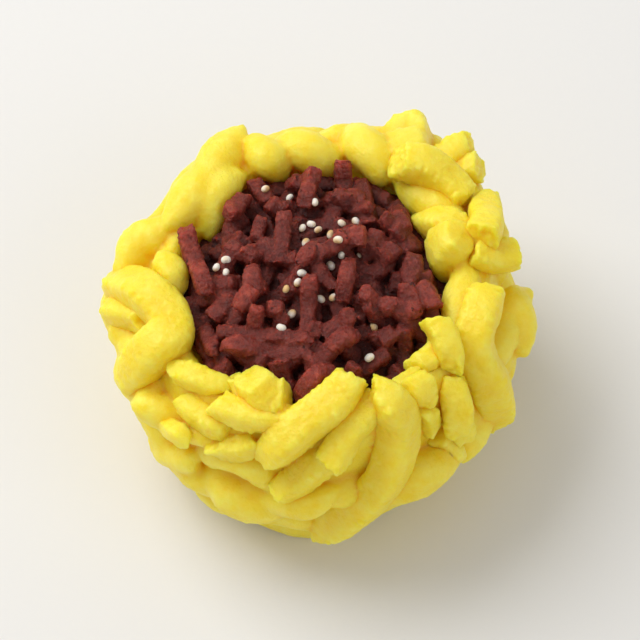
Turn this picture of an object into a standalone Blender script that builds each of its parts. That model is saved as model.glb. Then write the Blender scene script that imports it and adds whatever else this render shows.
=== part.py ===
"""Sieved bean-paste sweet: thick yellow strands pressed round a ball, with a hollow heaped with red crumbs.

Two solids. The yellow one is a turned core with its strands joined on. The red one is a plug that sits
in the core's hollow, with short strands of red paste and white poppy seeds joined on.
An azimuth is in degrees, from the front (-Y) towards +X. A rise says how far up the wall a place is:
0 is the edge of the base, 1 the belly, 2 the crest of the rim and 3 the foot of the hollow's wall.
"""
import math
import random

import bmesh
import bpy
from mathutils import Matrix, Vector
from mathutils.bvhtree import BVHTree

MM = 0.001

# The wall that the strands lie on: radius and height at rise 0, 1, 2 and 3.
BASE_RADIUS = 12.4 * MM
BELLY_RADIUS = 20.3 * MM
BELLY_HEIGHT = 14.5 * MM
RIM_RADIUS = 16.7 * MM
RIM_HEIGHT = 24.0 * MM
HOLLOW_RADIUS = 14.4 * MM
HOLLOW_HEIGHT = 20.5 * MM
OVAL = 0.035
OVAL_AZIMUTH = 140
CORE_INSET = 0.6 * MM
CORE_STEPS = 24
ARC_STEPS = 3

# Strands of yellow paste.
YELLOW_WIDTH = 4.2 * MM
YELLOW_RING_SPACING = 3.3 * MM
FIRST_LIFT = -0.4 * MM
PILE_LIMIT = 3.0 * MM
NEAREST_SHARE = 0.6
PRESSED_SHARE = 0.42
PRESSED_STRANDS = 23
LIFT_STEP = 0.2 * MM
TIP_TAPER = 0.8
PRESSED_TAPER = 0.6

# The red heap, in the hollow.
GAP = 0.35 * MM
PLUG_GAP = 0.7 * MM
HEAP_HEIGHT = 27.4 * MM
HEAP_CURVE = 16.0
PLUG_DEPTH = 3.2 * MM
PLUG_STEPS = 24
RED_WIDTH = 2.05 * MM
RED_RING_SPACING = 2.2 * MM
RED_FIRST_DEPTH = 1.6 * MM
RED_PILE_LIMIT = 2.0 * MM
INWARD_STEP = 0.25 * MM
INWARD_TRIES = 24
SEED_RADII = (0.55 * MM, 0.45 * MM, 0.42 * MM)
SEED_SINK = 0.35
# Height of the surface that the listed seed places are on, over its middle, and the way they fell on it.
SEED_HEIGHT = 26.8 * MM
SEED_FALL = Vector((0, 0.5, -0.866))
SEED_DROP = 20 * MM

YELLOW_DRAW = 8
RED_DRAW = 8
KEPT_FACES = 0.67

# The yellow strands that show from above, in the order they were laid: start, middle and end as
# (azimuth, rise), width as a share of YELLOW_WIDTH, and how far the two tips stand off in mm.
LAID_STRANDS = (
    ((-32, 0.95), (-21, 0.85), (-8, 0.90), 1.05, 0.0, 0.0),
    ((10, 0.50), (22, 0.90), (38, 0.85), 1.00, 0.0, 0.0),
    ((22, 1.05), (36, 0.95), (46, 0.95), 1.00, 0.0, 0.0),
    ((-38, 1.00), (-25, 1.20), (-14, 1.00), 0.70, 0.0, 0.0),
    ((-60, 0.80), (-54, 0.75), (-38, 1.00), 0.75, 0.0, 0.0),
    ((-80, 1.00), (-72, 1.00), (-58, 1.25), 0.95, 0.0, 0.0),
    ((-58, 1.30), (-52, 1.25), (-44, 1.25), 0.90, 0.0, 0.0),
    ((-42, 1.25), (-37, 1.30), (-33, 1.25), 0.60, 0.0, 0.0),
    ((-96, 1.20), (-86, 1.25), (-80, 1.15), 0.75, 0.0, 0.0),
    ((-106, 1.45), (-100, 1.40), (-94, 1.35), 0.75, 0.0, 0.0),
    ((-114, 1.70), (-109, 1.50), (-100, 1.45), 1.10, 0.0, 0.0),
    ((-154, 1.60), (-136, 1.75), (-114, 1.90), 1.15, 2.4, 0.0),
    ((-98, 1.80), (-93, 2.30), (-86, 2.60), 0.95, 0.0, 0.0),
    ((146, 2.60), (130, 2.55), (116, 2.20), 1.10, 0.0, 0.0),
    ((96, 2.40), (84, 2.50), (68, 2.45), 0.95, 0.0, 0.0),
    ((97, 1.15), (91, 1.05), (84, 1.00), 0.80, 0.8, 0.8),
    ((86, 0.95), (79, 0.90), (70, 0.85), 0.95, 1.0, 1.0),
    ((96, 1.20), (88, 1.15), (79, 1.05), 0.85, 0.7, 0.7),
    ((60, 1.10), (57, 0.95), (50, 0.95), 0.75, 0.0, 0.0),
    ((194, 1.65), (184, 2.20), (174, 2.65), 1.10, 0.0, 0.0),
    ((170, 1.65), (162, 2.05), (152, 2.60), 1.15, 0.0, 0.0),
    ((204, 1.80), (200, 2.20), (197, 2.70), 1.00, 2.2, 0.0),
    ((215, 2.00), (229, 2.30), (240, 2.80), 1.00, 0.0, 0.0),
    ((-54, 1.10), (-44, 1.30), (-40, 1.30), 0.50, 0.0, 0.0),
    ((-32, 1.35), (-26, 1.35), (-20, 1.50), 0.65, 0.0, 0.0),
    ((-54, 1.70), (-45, 2.00), (-36, 2.30), 0.65, 0.0, 0.0),
    ((-36, 2.35), (-32, 2.35), (-28, 2.15), 0.50, 0.0, 0.0),
    ((-46, 1.50), (-40, 1.50), (-30, 1.50), 0.70, 0.0, 0.0),
    ((-28, 2.20), (-21, 2.25), (-13, 2.25), 1.10, 1.2, 1.8),
    ((-36, 1.80), (-24, 1.85), (-10, 1.95), 0.70, 0.0, 0.0),
    ((2, 1.45), (-4, 1.20), (-11, 1.05), 0.80, 0.0, 0.0),
    ((20, 2.10), (10, 1.70), (3, 1.45), 0.80, 0.0, 0.0),
    ((31, 2.35), (37, 2.35), (44, 2.30), 0.45, 0.5, 0.0),
    ((38, 2.10), (38, 1.80), (35, 1.60), 0.75, 0.0, 0.0),
    ((40, 1.10), (42, 1.00), (43, 0.92), 0.50, 0.0, 0.0),
    ((36, 1.60), (38, 1.40), (38, 1.20), 0.50, 0.0, 0.0),
    ((46, 1.25), (48, 1.15), (47, 1.00), 0.75, 0.0, 0.0),
    ((43, 2.35), (52, 2.35), (62, 2.40), 0.60, 0.0, 0.0),
    ((52, 1.60), (48, 1.40), (44, 1.20), 0.80, 0.0, 0.0),
    ((62, 2.30), (58, 2.10), (52, 1.80), 0.70, 0.8, 0.0),
    ((21, 2.10), (25, 1.35), (0, 0.60), 1.00, 0.0, 0.0),
    ((14, 2.30), (-3, 1.95), (-16, 1.35), 1.00, 1.2, 0.0),
    ((126, 2.70), (118, 2.45), (108, 2.10), 0.80, 0.0, 0.0),
    ((86, 1.75), (66, 1.65), (64, 0.85), 1.00, 0.0, 0.0),
    ((100, 2.05), (99, 1.80), (100, 1.55), 0.80, 0.0, 0.4),
    ((104, 2.15), (104, 2.55), (102, 2.95), 1.10, 0.5, 0.0),
    ((119, 1.60), (111, 1.80), (102, 1.95), 0.90, 0.4, 0.0),
    ((135, 1.55), (133, 1.55), (130, 1.55), 0.75, 0.0, 1.5),
    ((144, 1.60), (141, 1.60), (137, 1.55), 0.75, 1.0, 2.5),
    ((154, 1.65), (152, 1.60), (146, 1.95), 1.15, 2.0, 0.0),
    ((148, 2.15), (135, 1.95), (122, 1.80), 0.95, 0.0, 0.0),
    ((-96, 1.25), (-70, 2.10), (-66, 1.20), 1.10, 0.0, 0.0),
    ((-88, 1.25), (-84, 1.40), (-78, 1.60), 0.80, 0.0, 0.0),
)

# Rings of strands drawn by rule under those: rise, first and last azimuth, and how many.
STRAND_RINGS = (
    (0.38, 0, 360, 7),
    (0.66, 10, 370, 8),
    (0.92, 0, 360, 8),
    (1.20, 60, 300, 6),
    (1.45, 100, 260, 4),
)

# The red strands that show: start and end as (x, y) in mm, and how far the two tips stand up in mm.
RED_STRANDS = (
    ((-9.0, -1.2), (-11.9, -0.9), 0.0, 0.0),
    ((-9.3, -2.8), (-11.4, -4.8), 0.0, 0.0),
    ((-13.5, -6.6), (-12.6, -8.9), 0.0, 0.0),
    ((-12.3, -5.4), (-11.0, -9.2), 0.0, 0.0),
    ((-11.2, 8.5), (-11.3, 4.3), 0.8, 0.0),
    ((-8.1, 10.0), (-9.9, 7.0), 0.5, 0.0),
    ((-7.2, 12.4), (-5.4, 9.5), 1.0, 0.0),
    ((-5.4, 8.8), (-3.7, 7.8), 0.0, 0.0),
    ((-6.2, 6.9), (-6.9, 4.2), 0.0, 0.0),
    ((-9.8, 3.4), (-8.0, 1.8), 0.0, 0.0),
    ((-5.3, 3.8), (-7.9, 1.3), 0.0, 0.0),
    ((-3.8, 7.0), (-4.2, 0.8), 0.0, 0.0),
    ((-1.1, 11.1), (-1.6, 8.4), 0.0, 0.0),
    ((-3.2, 12.2), (-0.5, 11.6), 0.5, 0.5),
    ((2.4, 13.9), (2.7, 10.9), 1.5, 0.0),
    ((5.4, 14.6), (6.4, 8.2), 1.0, 0.0),
    ((2.7, 9.9), (4.8, 9.5), 0.0, 0.0),
    ((8.0, 7.7), (9.1, 5.4), 0.0, 0.0),
    ((8.8, 5.9), (11.2, 4.8), 0.0, 0.0),
    ((11.8, -2.6), (12.7, -5.3), 0.0, 0.0),
    ((10.8, -1.4), (12.1, -4.3), 0.0, 0.0),
    ((10.1, 2.5), (9.3, -1.4), 0.0, 0.0),
    ((9.0, -2.0), (10.0, -5.5), 0.0, 0.0),
    ((6.3, -7.9), (7.9, -6.7), 0.0, 0.0),
    ((6.2, 5.0), (4.8, 2.4), 0.0, 0.0),
    ((2.3, 4.6), (2.4, 2.2), 0.0, 0.0),
    ((3.9, 4.7), (4.0, 2.1), 0.0, 0.0),
    ((3.2, 0.7), (2.4, -3.6), 0.0, 0.0),
    ((-0.8, 0.6), (1.4, -2.3), 0.0, 0.0),
    ((-0.2, 2.4), (-2.1, -0.1), 0.0, 0.0),
    ((2.7, 3.1), (-0.2, 1.1), 0.0, 0.0),
    ((-1.1, -2.1), (-1.3, -7.0), 0.0, 0.0),
    ((-4.7, -5.2), (-4.7, -4.2), 0.5, 0.0),
    ((0.5, -7.7), (3.1, -5.8), 0.0, 0.0),
    ((-2.1, -14.2), (1.0, -11.3), 0.0, 0.0),
    ((-1.3, -11.1), (3.7, -7.7), 0.0, 0.0),
    ((-10.3, -8.7), (-1.0, -9.5), 0.0, 0.0),
    ((-10.7, -6.5), (-1.0, -8.5), 0.0, 0.0),
    ((4.7, -3.7), (7.4, -4.8), 0.0, 0.0),
    ((6.4, 1.5), (8.1, 3.1), 0.0, 0.5),
    ((-7.2, 0.1), (-7.1, -3.2), 0.0, 0.0),
    ((-7.1, -3.0), (-8.6, -4.9), 0.0, 0.0),
    ((-14.4, 5.4), (-12.0, -2.4), 2.8, 1.4),
)
RED_FILL = 36
RED_FILL_REACH = 13.0 * MM

# The poppy seeds: (x, y) in mm.
SEEDS = (
    (-5.9, 10.7), (-3.2, 9.2), (-0.7, 8.4), (-1.8, 4.7), (-0.9, 5.2), (-0.2, 4.4), (2.3, 5.4),
    (3.8, 5.7), (1.2, 3.8), (2.0, 3.0), (-1.5, 2.7), (-10.0, 1.4), (-10.9, 0.7), (-10.0, -0.2),
    (2.3, 1.4), (4.3, 1.4), (1.2, -0.2), (-2.0, -1.1), (-2.4, -2.2), (-3.5, -2.9), (0.0, -4.1),
    (1.5, -4.0), (-3.0, -5.8), (-4.1, -7.2), (5.7, -6.9), (5.2, -10.2),
)


def clear_scene():
    """Removes every object that the file opened with."""
    for item in list(bpy.data.objects):
        bpy.data.objects.remove(item, do_unlink=True)


def make_collection(name):
    """Makes a collection and links it to the scene."""
    collection = bpy.data.collections.new(name)
    bpy.context.scene.collection.children.link(collection)
    return collection


def make_material(name, colour, roughness):
    """Makes a plain material of one colour."""
    material = bpy.data.materials.new(name)
    material.use_nodes = True
    shader = material.node_tree.nodes["Principled BSDF"]
    shader.inputs["Base Color"].default_value = (*colour, 1.0)
    shader.inputs["Roughness"].default_value = roughness
    shader.inputs["Metallic"].default_value = 0.0
    return material


def oval(azimuth):
    """The plan is slightly oval: how much the radius grows at an azimuth in degrees."""
    return 1 + OVAL * math.cos(math.radians(2 * (azimuth - OVAL_AZIMUTH)))


def wall_profile(rise, lift=0.0):
    """Radius and height of a place on the wall, moved out of it by lift along its normal."""
    stations = (
        (BASE_RADIUS, 0.0),
        (BELLY_RADIUS, BELLY_HEIGHT),
        (RIM_RADIUS, RIM_HEIGHT),
        (HOLLOW_RADIUS, HOLLOW_HEIGHT),
    )
    arc = min(max(int(rise), 0), 2)
    (radius, height), (next_radius, next_height) = stations[arc:arc + 2]
    turn = (rise - arc) * math.pi / 2
    across = next_radius - radius
    up = next_height - height
    sine, cosine = math.sin(turn), math.cos(turn)
    if arc == 1:
        place = Vector((radius + across * (1 - cosine), height + up * sine))
        along = Vector((across * sine, up * cosine))
    else:
        place = Vector((radius + across * sine, height + up * (1 - cosine)))
        along = Vector((across * cosine, up * sine))
    along.normalize()
    return place.x + lift * along.y, place.y - lift * along.x


def wall_point(azimuth, rise, lift=0.0):
    """A place on the wall, or lifted off it, as a point."""
    radius, height = wall_profile(rise, lift)
    radius *= oval(azimuth)
    turn = math.radians(azimuth)
    return Vector((radius * math.sin(turn), -radius * math.cos(turn), height))


def through_three(start, middle, end, share):
    """A place on the smooth curve through three, at a share of its length from 0 to 1."""
    weights = ((2 * share - 1) * (share - 1), 4 * share * (1 - share), share * (2 * share - 1))
    return [sum(w * p[axis] for w, p in zip(weights, (start, middle, end))) for axis in range(len(start))]


def turned(name, profile, steps, collection):
    """A solid turned from a profile that runs down its outer side, from the axis to the axis."""
    mesh = bpy.data.meshes.new(name)
    mesh.from_pydata([(radius, 0, height) for radius, height in profile],
                     [(index, index + 1) for index in range(len(profile) - 1)], [])
    item = bpy.data.objects.new(name, mesh)
    collection.objects.link(item)
    screw = item.modifiers.new("Turn", "SCREW")
    screw.steps = steps
    screw.render_steps = steps
    screw.use_merge_vertices = True
    screw.merge_threshold = 0.00001
    return item


def settle_modifiers(item):
    """Replaces an object's mesh by what its modifiers make of it."""
    evaluated = item.evaluated_get(bpy.context.evaluated_depsgraph_get())
    item.data = bpy.data.meshes.new_from_object(evaluated)
    item.modifiers.clear()


def strand_solid(name, places, widths, collection):
    """A six-sided strand through places, as wide at each as widths says."""
    curve = bpy.data.curves.new(name, "CURVE")
    curve.dimensions = "3D"
    curve.bevel_depth = 0.5
    curve.bevel_resolution = 1
    curve.use_fill_caps = True
    spline = curve.splines.new("POLY")
    spline.points.add(len(places) - 1)
    for point, place, width in zip(spline.points, places, widths):
        point.co = (*place, 1.0)
        point.radius = width
    drawn = bpy.data.objects.new(name + "_line", curve)
    collection.objects.link(drawn)
    evaluated = drawn.evaluated_get(bpy.context.evaluated_depsgraph_get())
    mesh = bpy.data.meshes.new_from_object(evaluated)
    shape = bmesh.new()
    shape.from_mesh(mesh)
    bmesh.ops.remove_doubles(shape, verts=shape.verts, dist=0.00001)
    bmesh.ops.triangulate(shape, faces=shape.faces)
    shape.to_mesh(mesh)
    shape.free()
    item = bpy.data.objects.new(name, mesh)
    item.matrix_world = drawn.matrix_world
    collection.objects.link(item)
    bpy.data.objects.remove(drawn)
    return item


def tapered(count, width, taper=TIP_TAPER):
    """The width of a strand at each of its places, less at its two tips."""
    return [width * (taper if index in (0, count - 1) else 1.0) for index in range(count)]


def smoothed(values):
    """Each value with half of its neighbours' mean mixed in."""
    padded = [values[0], *values, values[-1]]
    return [0.25 * a + 0.5 * b + 0.25 * c for a, b, c in zip(padded, padded[1:], padded[2:])]


def rest_on(place_at, reach, laid, limit, near=NEAREST_SHARE):
    """How far a place has to rise to lie on what was laid before it, near it by a share of their half widths."""
    lift = 0.0
    while lift < limit:
        place = place_at(lift)
        if all((place - other).length >= near * (reach + other_reach) for other, other_reach in laid):
            break
        lift += LIFT_STEP
    return lift


def lay_yellow(strand, laid, near=NEAREST_SHARE):
    """Places along a strand that rests on the wall and on the strands laid before it."""
    start, middle, end, share, start_lift, end_lift = strand
    reach = share * YELLOW_WIDTH / 2
    rough = [wall_point(*through_three(start, middle, end, step / 8)) for step in range(9)]
    length = sum((b - a).length for a, b in zip(rough, rough[1:]))
    count = max(4, round(length / YELLOW_RING_SPACING) + 1)
    stations = [through_three(start, middle, end, step / (count - 1)) for step in range(count)]
    lifts = [rest_on(lambda lift: wall_point(*station, FIRST_LIFT + lift), reach, laid, PILE_LIMIT, near)
             for station in stations]
    lifts = smoothed(lifts)
    places = []
    for step, (station, lift) in enumerate(zip(stations, lifts)):
        share_along = step / (count - 1)
        tip = max(0.0, 1 - 2 * share_along) * start_lift + max(0.0, 2 * share_along - 1) * end_lift
        places.append(wall_point(*station, FIRST_LIFT + lift + tip * MM))
    laid.extend((place, reach) for place in places)
    return places


def ring_strands(draw):
    """The strands drawn by rule, low on the wall and behind."""
    strands = []
    for rise, first, last, count in STRAND_RINGS:
        step = (last - first) / count
        for index in range(count):
            middle = first + (index + 0.5) * step + draw.uniform(-3, 3)
            half = 0.55 * step * draw.uniform(0.85, 1.0)
            slant = draw.choice((-1, 1)) * draw.uniform(0.04, 0.14)
            strands.append(((middle - half, rise - slant), (middle, rise + draw.uniform(-0.03, 0.03)),
                            (middle + half, rise + slant), draw.uniform(0.9, 1.05), 0.0, 0.0))
    return strands


def join_all(item, pieces, name):
    """Joins a collection's pieces to an object with one Boolean, and keeps the outer shell alone."""
    union = item.modifiers.new(name, "BOOLEAN")
    union.operation = "UNION"
    union.operand_type = "COLLECTION"
    union.collection = pieces
    union.solver = "MANIFOLD"
    settle_modifiers(item)
    for piece in list(pieces.objects):
        bpy.data.objects.remove(piece, do_unlink=True)
    keep_outer_shell(item.data)
    thin = item.modifiers.new("Drop slivers", "DECIMATE")
    thin.ratio = KEPT_FACES
    settle_modifiers(item)


def keep_outer_shell(mesh):
    """Drops loose scraps and the walls of sealed hollows: all but the widest shell."""
    shape = bmesh.new()
    shape.from_mesh(mesh)
    unseen = set(shape.verts)
    shells = []
    while unseen:
        front = [unseen.pop()]
        shell = []
        while front:
            vertex = front.pop()
            shell.append(vertex)
            for edge in vertex.link_edges:
                other = edge.other_vert(vertex)
                if other in unseen:
                    unseen.remove(other)
                    front.append(other)
        shells.append(shell)
    shells.sort(key=lambda shell: max(v.co.x for v in shell) - min(v.co.x for v in shell))
    for shell in shells[:-1]:
        bmesh.ops.delete(shape, geom=shell, context="VERTS")
    shape.to_mesh(mesh)
    shape.free()


def flatten_base(item, cutters):
    """Cuts off what hangs below the surface that the sweet stands on."""
    size = 4 * BELLY_RADIUS
    bpy.ops.mesh.primitive_cube_add(size=size, location=(0, 0, -size / 2))
    block = bpy.context.object
    block.name = "below_the_base"
    for collection in block.users_collection:
        collection.objects.unlink(block)
    cutters.objects.link(block)
    block.hide_render = True
    block.display_type = "WIRE"
    cut = item.modifiers.new("Flat base", "BOOLEAN")
    cut.operation = "DIFFERENCE"
    cut.object = block
    cut.solver = "EXACT"
    settle_modifiers(item)


def shade(item):
    """Smooth shading with sharp creases between strands."""
    item.data.shade_smooth()
    item.data.set_sharp_from_angle(angle=math.radians(50))


def make_yellow(parts, cutters, material):
    """The yellow body: the core with its hollow, and the strands laid on it."""
    rises = [step / ARC_STEPS for step in range(3 * ARC_STEPS, -1, -1)]
    profile = [wall_profile(rise, -CORE_INSET) for rise in rises]
    floor = HOLLOW_HEIGHT - CORE_INSET
    profile = [(0.0, floor), (profile[0][0], floor), *profile[1:-1], (profile[-1][0], 0.0), (0.0, 0.0)]
    core = turned("yellow_strands", profile, CORE_STEPS, parts)
    settle_modifiers(core)
    for vertex in core.data.vertices:
        azimuth = math.degrees(math.atan2(vertex.co.x, -vertex.co.y))
        vertex.co.x *= oval(azimuth)
        vertex.co.y *= oval(azimuth)
    pieces = make_collection("yellow_pieces")
    laid = []
    low = ring_strands(random.Random(YELLOW_DRAW))
    pressed = range(len(low), len(low) + PRESSED_STRANDS)
    for index, strand in enumerate((*low, *LAID_STRANDS)):
        places = lay_yellow(strand, laid, PRESSED_SHARE if index in pressed else NEAREST_SHARE)
        taper = PRESSED_TAPER if index < pressed.stop else TIP_TAPER
        strand_solid("strand_%d" % index, places, tapered(len(places), strand[3] * YELLOW_WIDTH, taper), pieces)
    join_all(core, pieces, "Strands")
    flatten_base(core, cutters)
    core.data.materials.clear()
    core.data.materials.append(material)
    shade(core)
    return core


def heap_height(x, y):
    """Height of the heap's rounded top over a place."""
    return HEAP_HEIGHT - HEAP_CURVE * (x * x + y * y)


def is_clear(place, walls, distance):
    """Whether a place is outside the yellow body and at least a distance from it."""
    nearest, normal, _, apart = walls.find_nearest(place)
    return apart >= distance and (place - nearest).dot(normal) > 0


def clear_of(places, walls, distance):
    """Places moved together towards the axis until all stand clear of the yellow body."""
    middle = places[len(places) // 2]
    inward = Vector((-middle.x, -middle.y, 0)).normalized() * INWARD_STEP
    for _ in range(INWARD_TRIES):
        pairs = list(zip(places, places[1:] or places))
        tested = [a.lerp(b, share) for a, b in pairs for share in (0.0, 0.33, 0.67, 1.0)]
        if all(is_clear(place, walls, distance) for place in tested):
            break
        places = [place + inward for place in places]
    return places


def make_plug(parts, walls):
    """The red core: it fills the foot of the hollow, clear of the yellow body."""
    reach = HOLLOW_RADIUS
    rings = 5
    radii = [reach * ring / rings for ring in range(rings + 1)]
    top = [(radius, heap_height(radius, 0) - PLUG_DEPTH) for radius in radii]
    floor = HOLLOW_HEIGHT - CORE_INSET + GAP
    profile = [*top, (reach, floor), (0.0, floor)]
    plug = turned("red_bean_heap", profile, PLUG_STEPS, parts)
    settle_modifiers(plug)
    for vertex in plug.data.vertices:
        if vertex.co.xy.length > reach * 0.7:
            vertex.co = clear_of([vertex.co.copy()], walls, PLUG_GAP)[0]
    return plug


def lay_red(strand, laid, walls):
    """Places along a red strand that lies on the heap, clear of the yellow body."""
    start, end, start_lift, end_lift = strand
    reach = RED_WIDTH / 2
    run = math.dist(start, end) * MM
    count = max(3, round(run / RED_RING_SPACING) + 1)
    places = []
    for step in range(count):
        share = step / (count - 1)
        x, y = [(a + (b - a) * share) * MM for a, b in zip(start, end)]
        height = heap_height(x, y) - RED_FIRST_DEPTH
        lift = rest_on(lambda lift: Vector((x, y, height + lift)), reach, laid, RED_PILE_LIMIT)
        tip = max(0.0, 1 - 2 * share) * start_lift + max(0.0, 2 * share - 1) * end_lift
        places.append(Vector((x, y, height + lift + tip * MM)))
    places = clear_of(places, walls, reach + GAP)
    laid.extend((place, reach) for place in places)
    return places


def fill_strands(draw):
    """Red strands drawn by rule, spread evenly under those that show."""
    strands = []
    for index in range(RED_FILL):
        radius = RED_FILL_REACH * math.sqrt((index + 0.5) / RED_FILL) / MM
        turn = index * math.pi * (3 - math.sqrt(5))
        x, y = radius * math.cos(turn), radius * math.sin(turn)
        along = draw.uniform(0, math.pi)
        half = draw.uniform(2.0, 3.0)
        across, up = half * math.cos(along), half * math.sin(along)
        strands.append(((x - across, y - up), (x + across, y + up), 0.0, 0.0))
    return strands


def make_seed(index, place, draw, pieces):
    """One poppy seed, lying on the heap at a place."""
    mesh = bpy.data.meshes.new("seed_%d" % index)
    shape = bmesh.new()
    bmesh.ops.create_icosphere(shape, subdivisions=1, radius=1.0)
    turn = Matrix.Rotation(draw.uniform(0, math.pi), 4, "Z")
    turn = turn @ Matrix.Rotation(draw.uniform(-0.4, 0.4), 4, "X")
    bmesh.ops.transform(shape, matrix=Matrix.Translation(place) @ turn @ Matrix.Diagonal((*SEED_RADII, 1)),
                        verts=shape.verts)
    shape.to_mesh(mesh)
    shape.free()
    item = bpy.data.objects.new("seed_%d" % index, mesh)
    pieces.objects.link(item)


def make_red(parts, yellow, material):
    """The red body: the plug, its strands and the poppy seeds."""
    walls = BVHTree.FromObject(yellow, bpy.context.evaluated_depsgraph_get())
    plug = make_plug(parts, walls)
    draw = random.Random(RED_DRAW)
    pieces = make_collection("red_pieces")
    laid = []
    for index, strand in enumerate((*fill_strands(draw), *RED_STRANDS)):
        places = lay_red(strand, laid, walls)
        strand_solid("crumb_%d" % index, places, tapered(len(places), RED_WIDTH), pieces)
    bpy.context.view_layer.update()
    graph = bpy.context.evaluated_depsgraph_get()
    beds = [BVHTree.FromObject(piece, graph) for piece in (plug, *pieces.objects)]
    for index, (x, y) in enumerate(SEEDS):
        x, y = x * MM, y * MM
        above = Vector((x, y, SEED_HEIGHT - HEAP_CURVE * (x * x + y * y))) - SEED_FALL * SEED_DROP
        hits = [bed.ray_cast(above, SEED_FALL)[0] for bed in beds]
        bed = min((hit for hit in hits if hit is not None), key=lambda hit: (hit - above).length)
        make_seed(index, bed + Vector((0, 0, (1 - SEED_SINK) * SEED_RADII[2])), draw, pieces)
    join_all(plug, pieces, "Crumbs and seeds")
    plug.data.materials.clear()
    plug.data.materials.append(material)
    shade(plug)
    return plug


def main():
    """Builds the sweet."""
    clear_scene()
    parts = make_collection("bean_paste_sweet")
    cutters = make_collection("cutters")
    yellow_paste = make_material("yellow_paste", (0.85, 0.68, 0.07), 0.45)
    red_paste = make_material("red_bean_paste", (0.13, 0.03, 0.025), 0.55)
    yellow = make_yellow(parts, cutters, yellow_paste)
    make_red(parts, yellow, red_paste)


main()
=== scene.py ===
"""Looks of a sieved bean-paste sweet: yellow strands, a grainy red heap, poppy seeds and a plain studio."""

import logging
import math
import random
from collections.abc import Callable
from dataclasses import dataclass, field
from enum import Enum

import bpy
import numpy as np
from mathutils import Euler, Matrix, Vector
from mathutils.bvhtree import BVHTree


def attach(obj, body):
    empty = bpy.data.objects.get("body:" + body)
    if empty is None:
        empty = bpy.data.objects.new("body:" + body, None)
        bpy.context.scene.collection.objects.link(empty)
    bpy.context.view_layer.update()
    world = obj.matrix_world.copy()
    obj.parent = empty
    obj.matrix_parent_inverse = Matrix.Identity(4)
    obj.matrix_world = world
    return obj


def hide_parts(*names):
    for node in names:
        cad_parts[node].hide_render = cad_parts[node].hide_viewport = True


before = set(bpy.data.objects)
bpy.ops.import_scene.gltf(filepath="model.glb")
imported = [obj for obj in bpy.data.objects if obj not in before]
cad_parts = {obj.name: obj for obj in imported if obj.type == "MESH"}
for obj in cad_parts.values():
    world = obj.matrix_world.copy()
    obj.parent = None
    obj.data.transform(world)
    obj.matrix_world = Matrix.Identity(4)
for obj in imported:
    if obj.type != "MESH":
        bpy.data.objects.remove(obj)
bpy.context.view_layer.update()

LOG = logging.getLogger("sweet")
MM = 0.001

# A place on the wall: azimuth in degrees from the front (-Y) towards +X, and rise.
# Rise is 0 at the edge of the base, 1 at the belly, 2 on the crest of the rim and 3 at the hollow's foot.
Place = tuple[float, float]

# A linear colour, and a ramp's places with their colours.
Colour = tuple[float, float, float]
Stops = tuple[tuple[float, Colour], ...]

Solid = bpy.types.Object
Socket = bpy.types.NodeSocket

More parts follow.
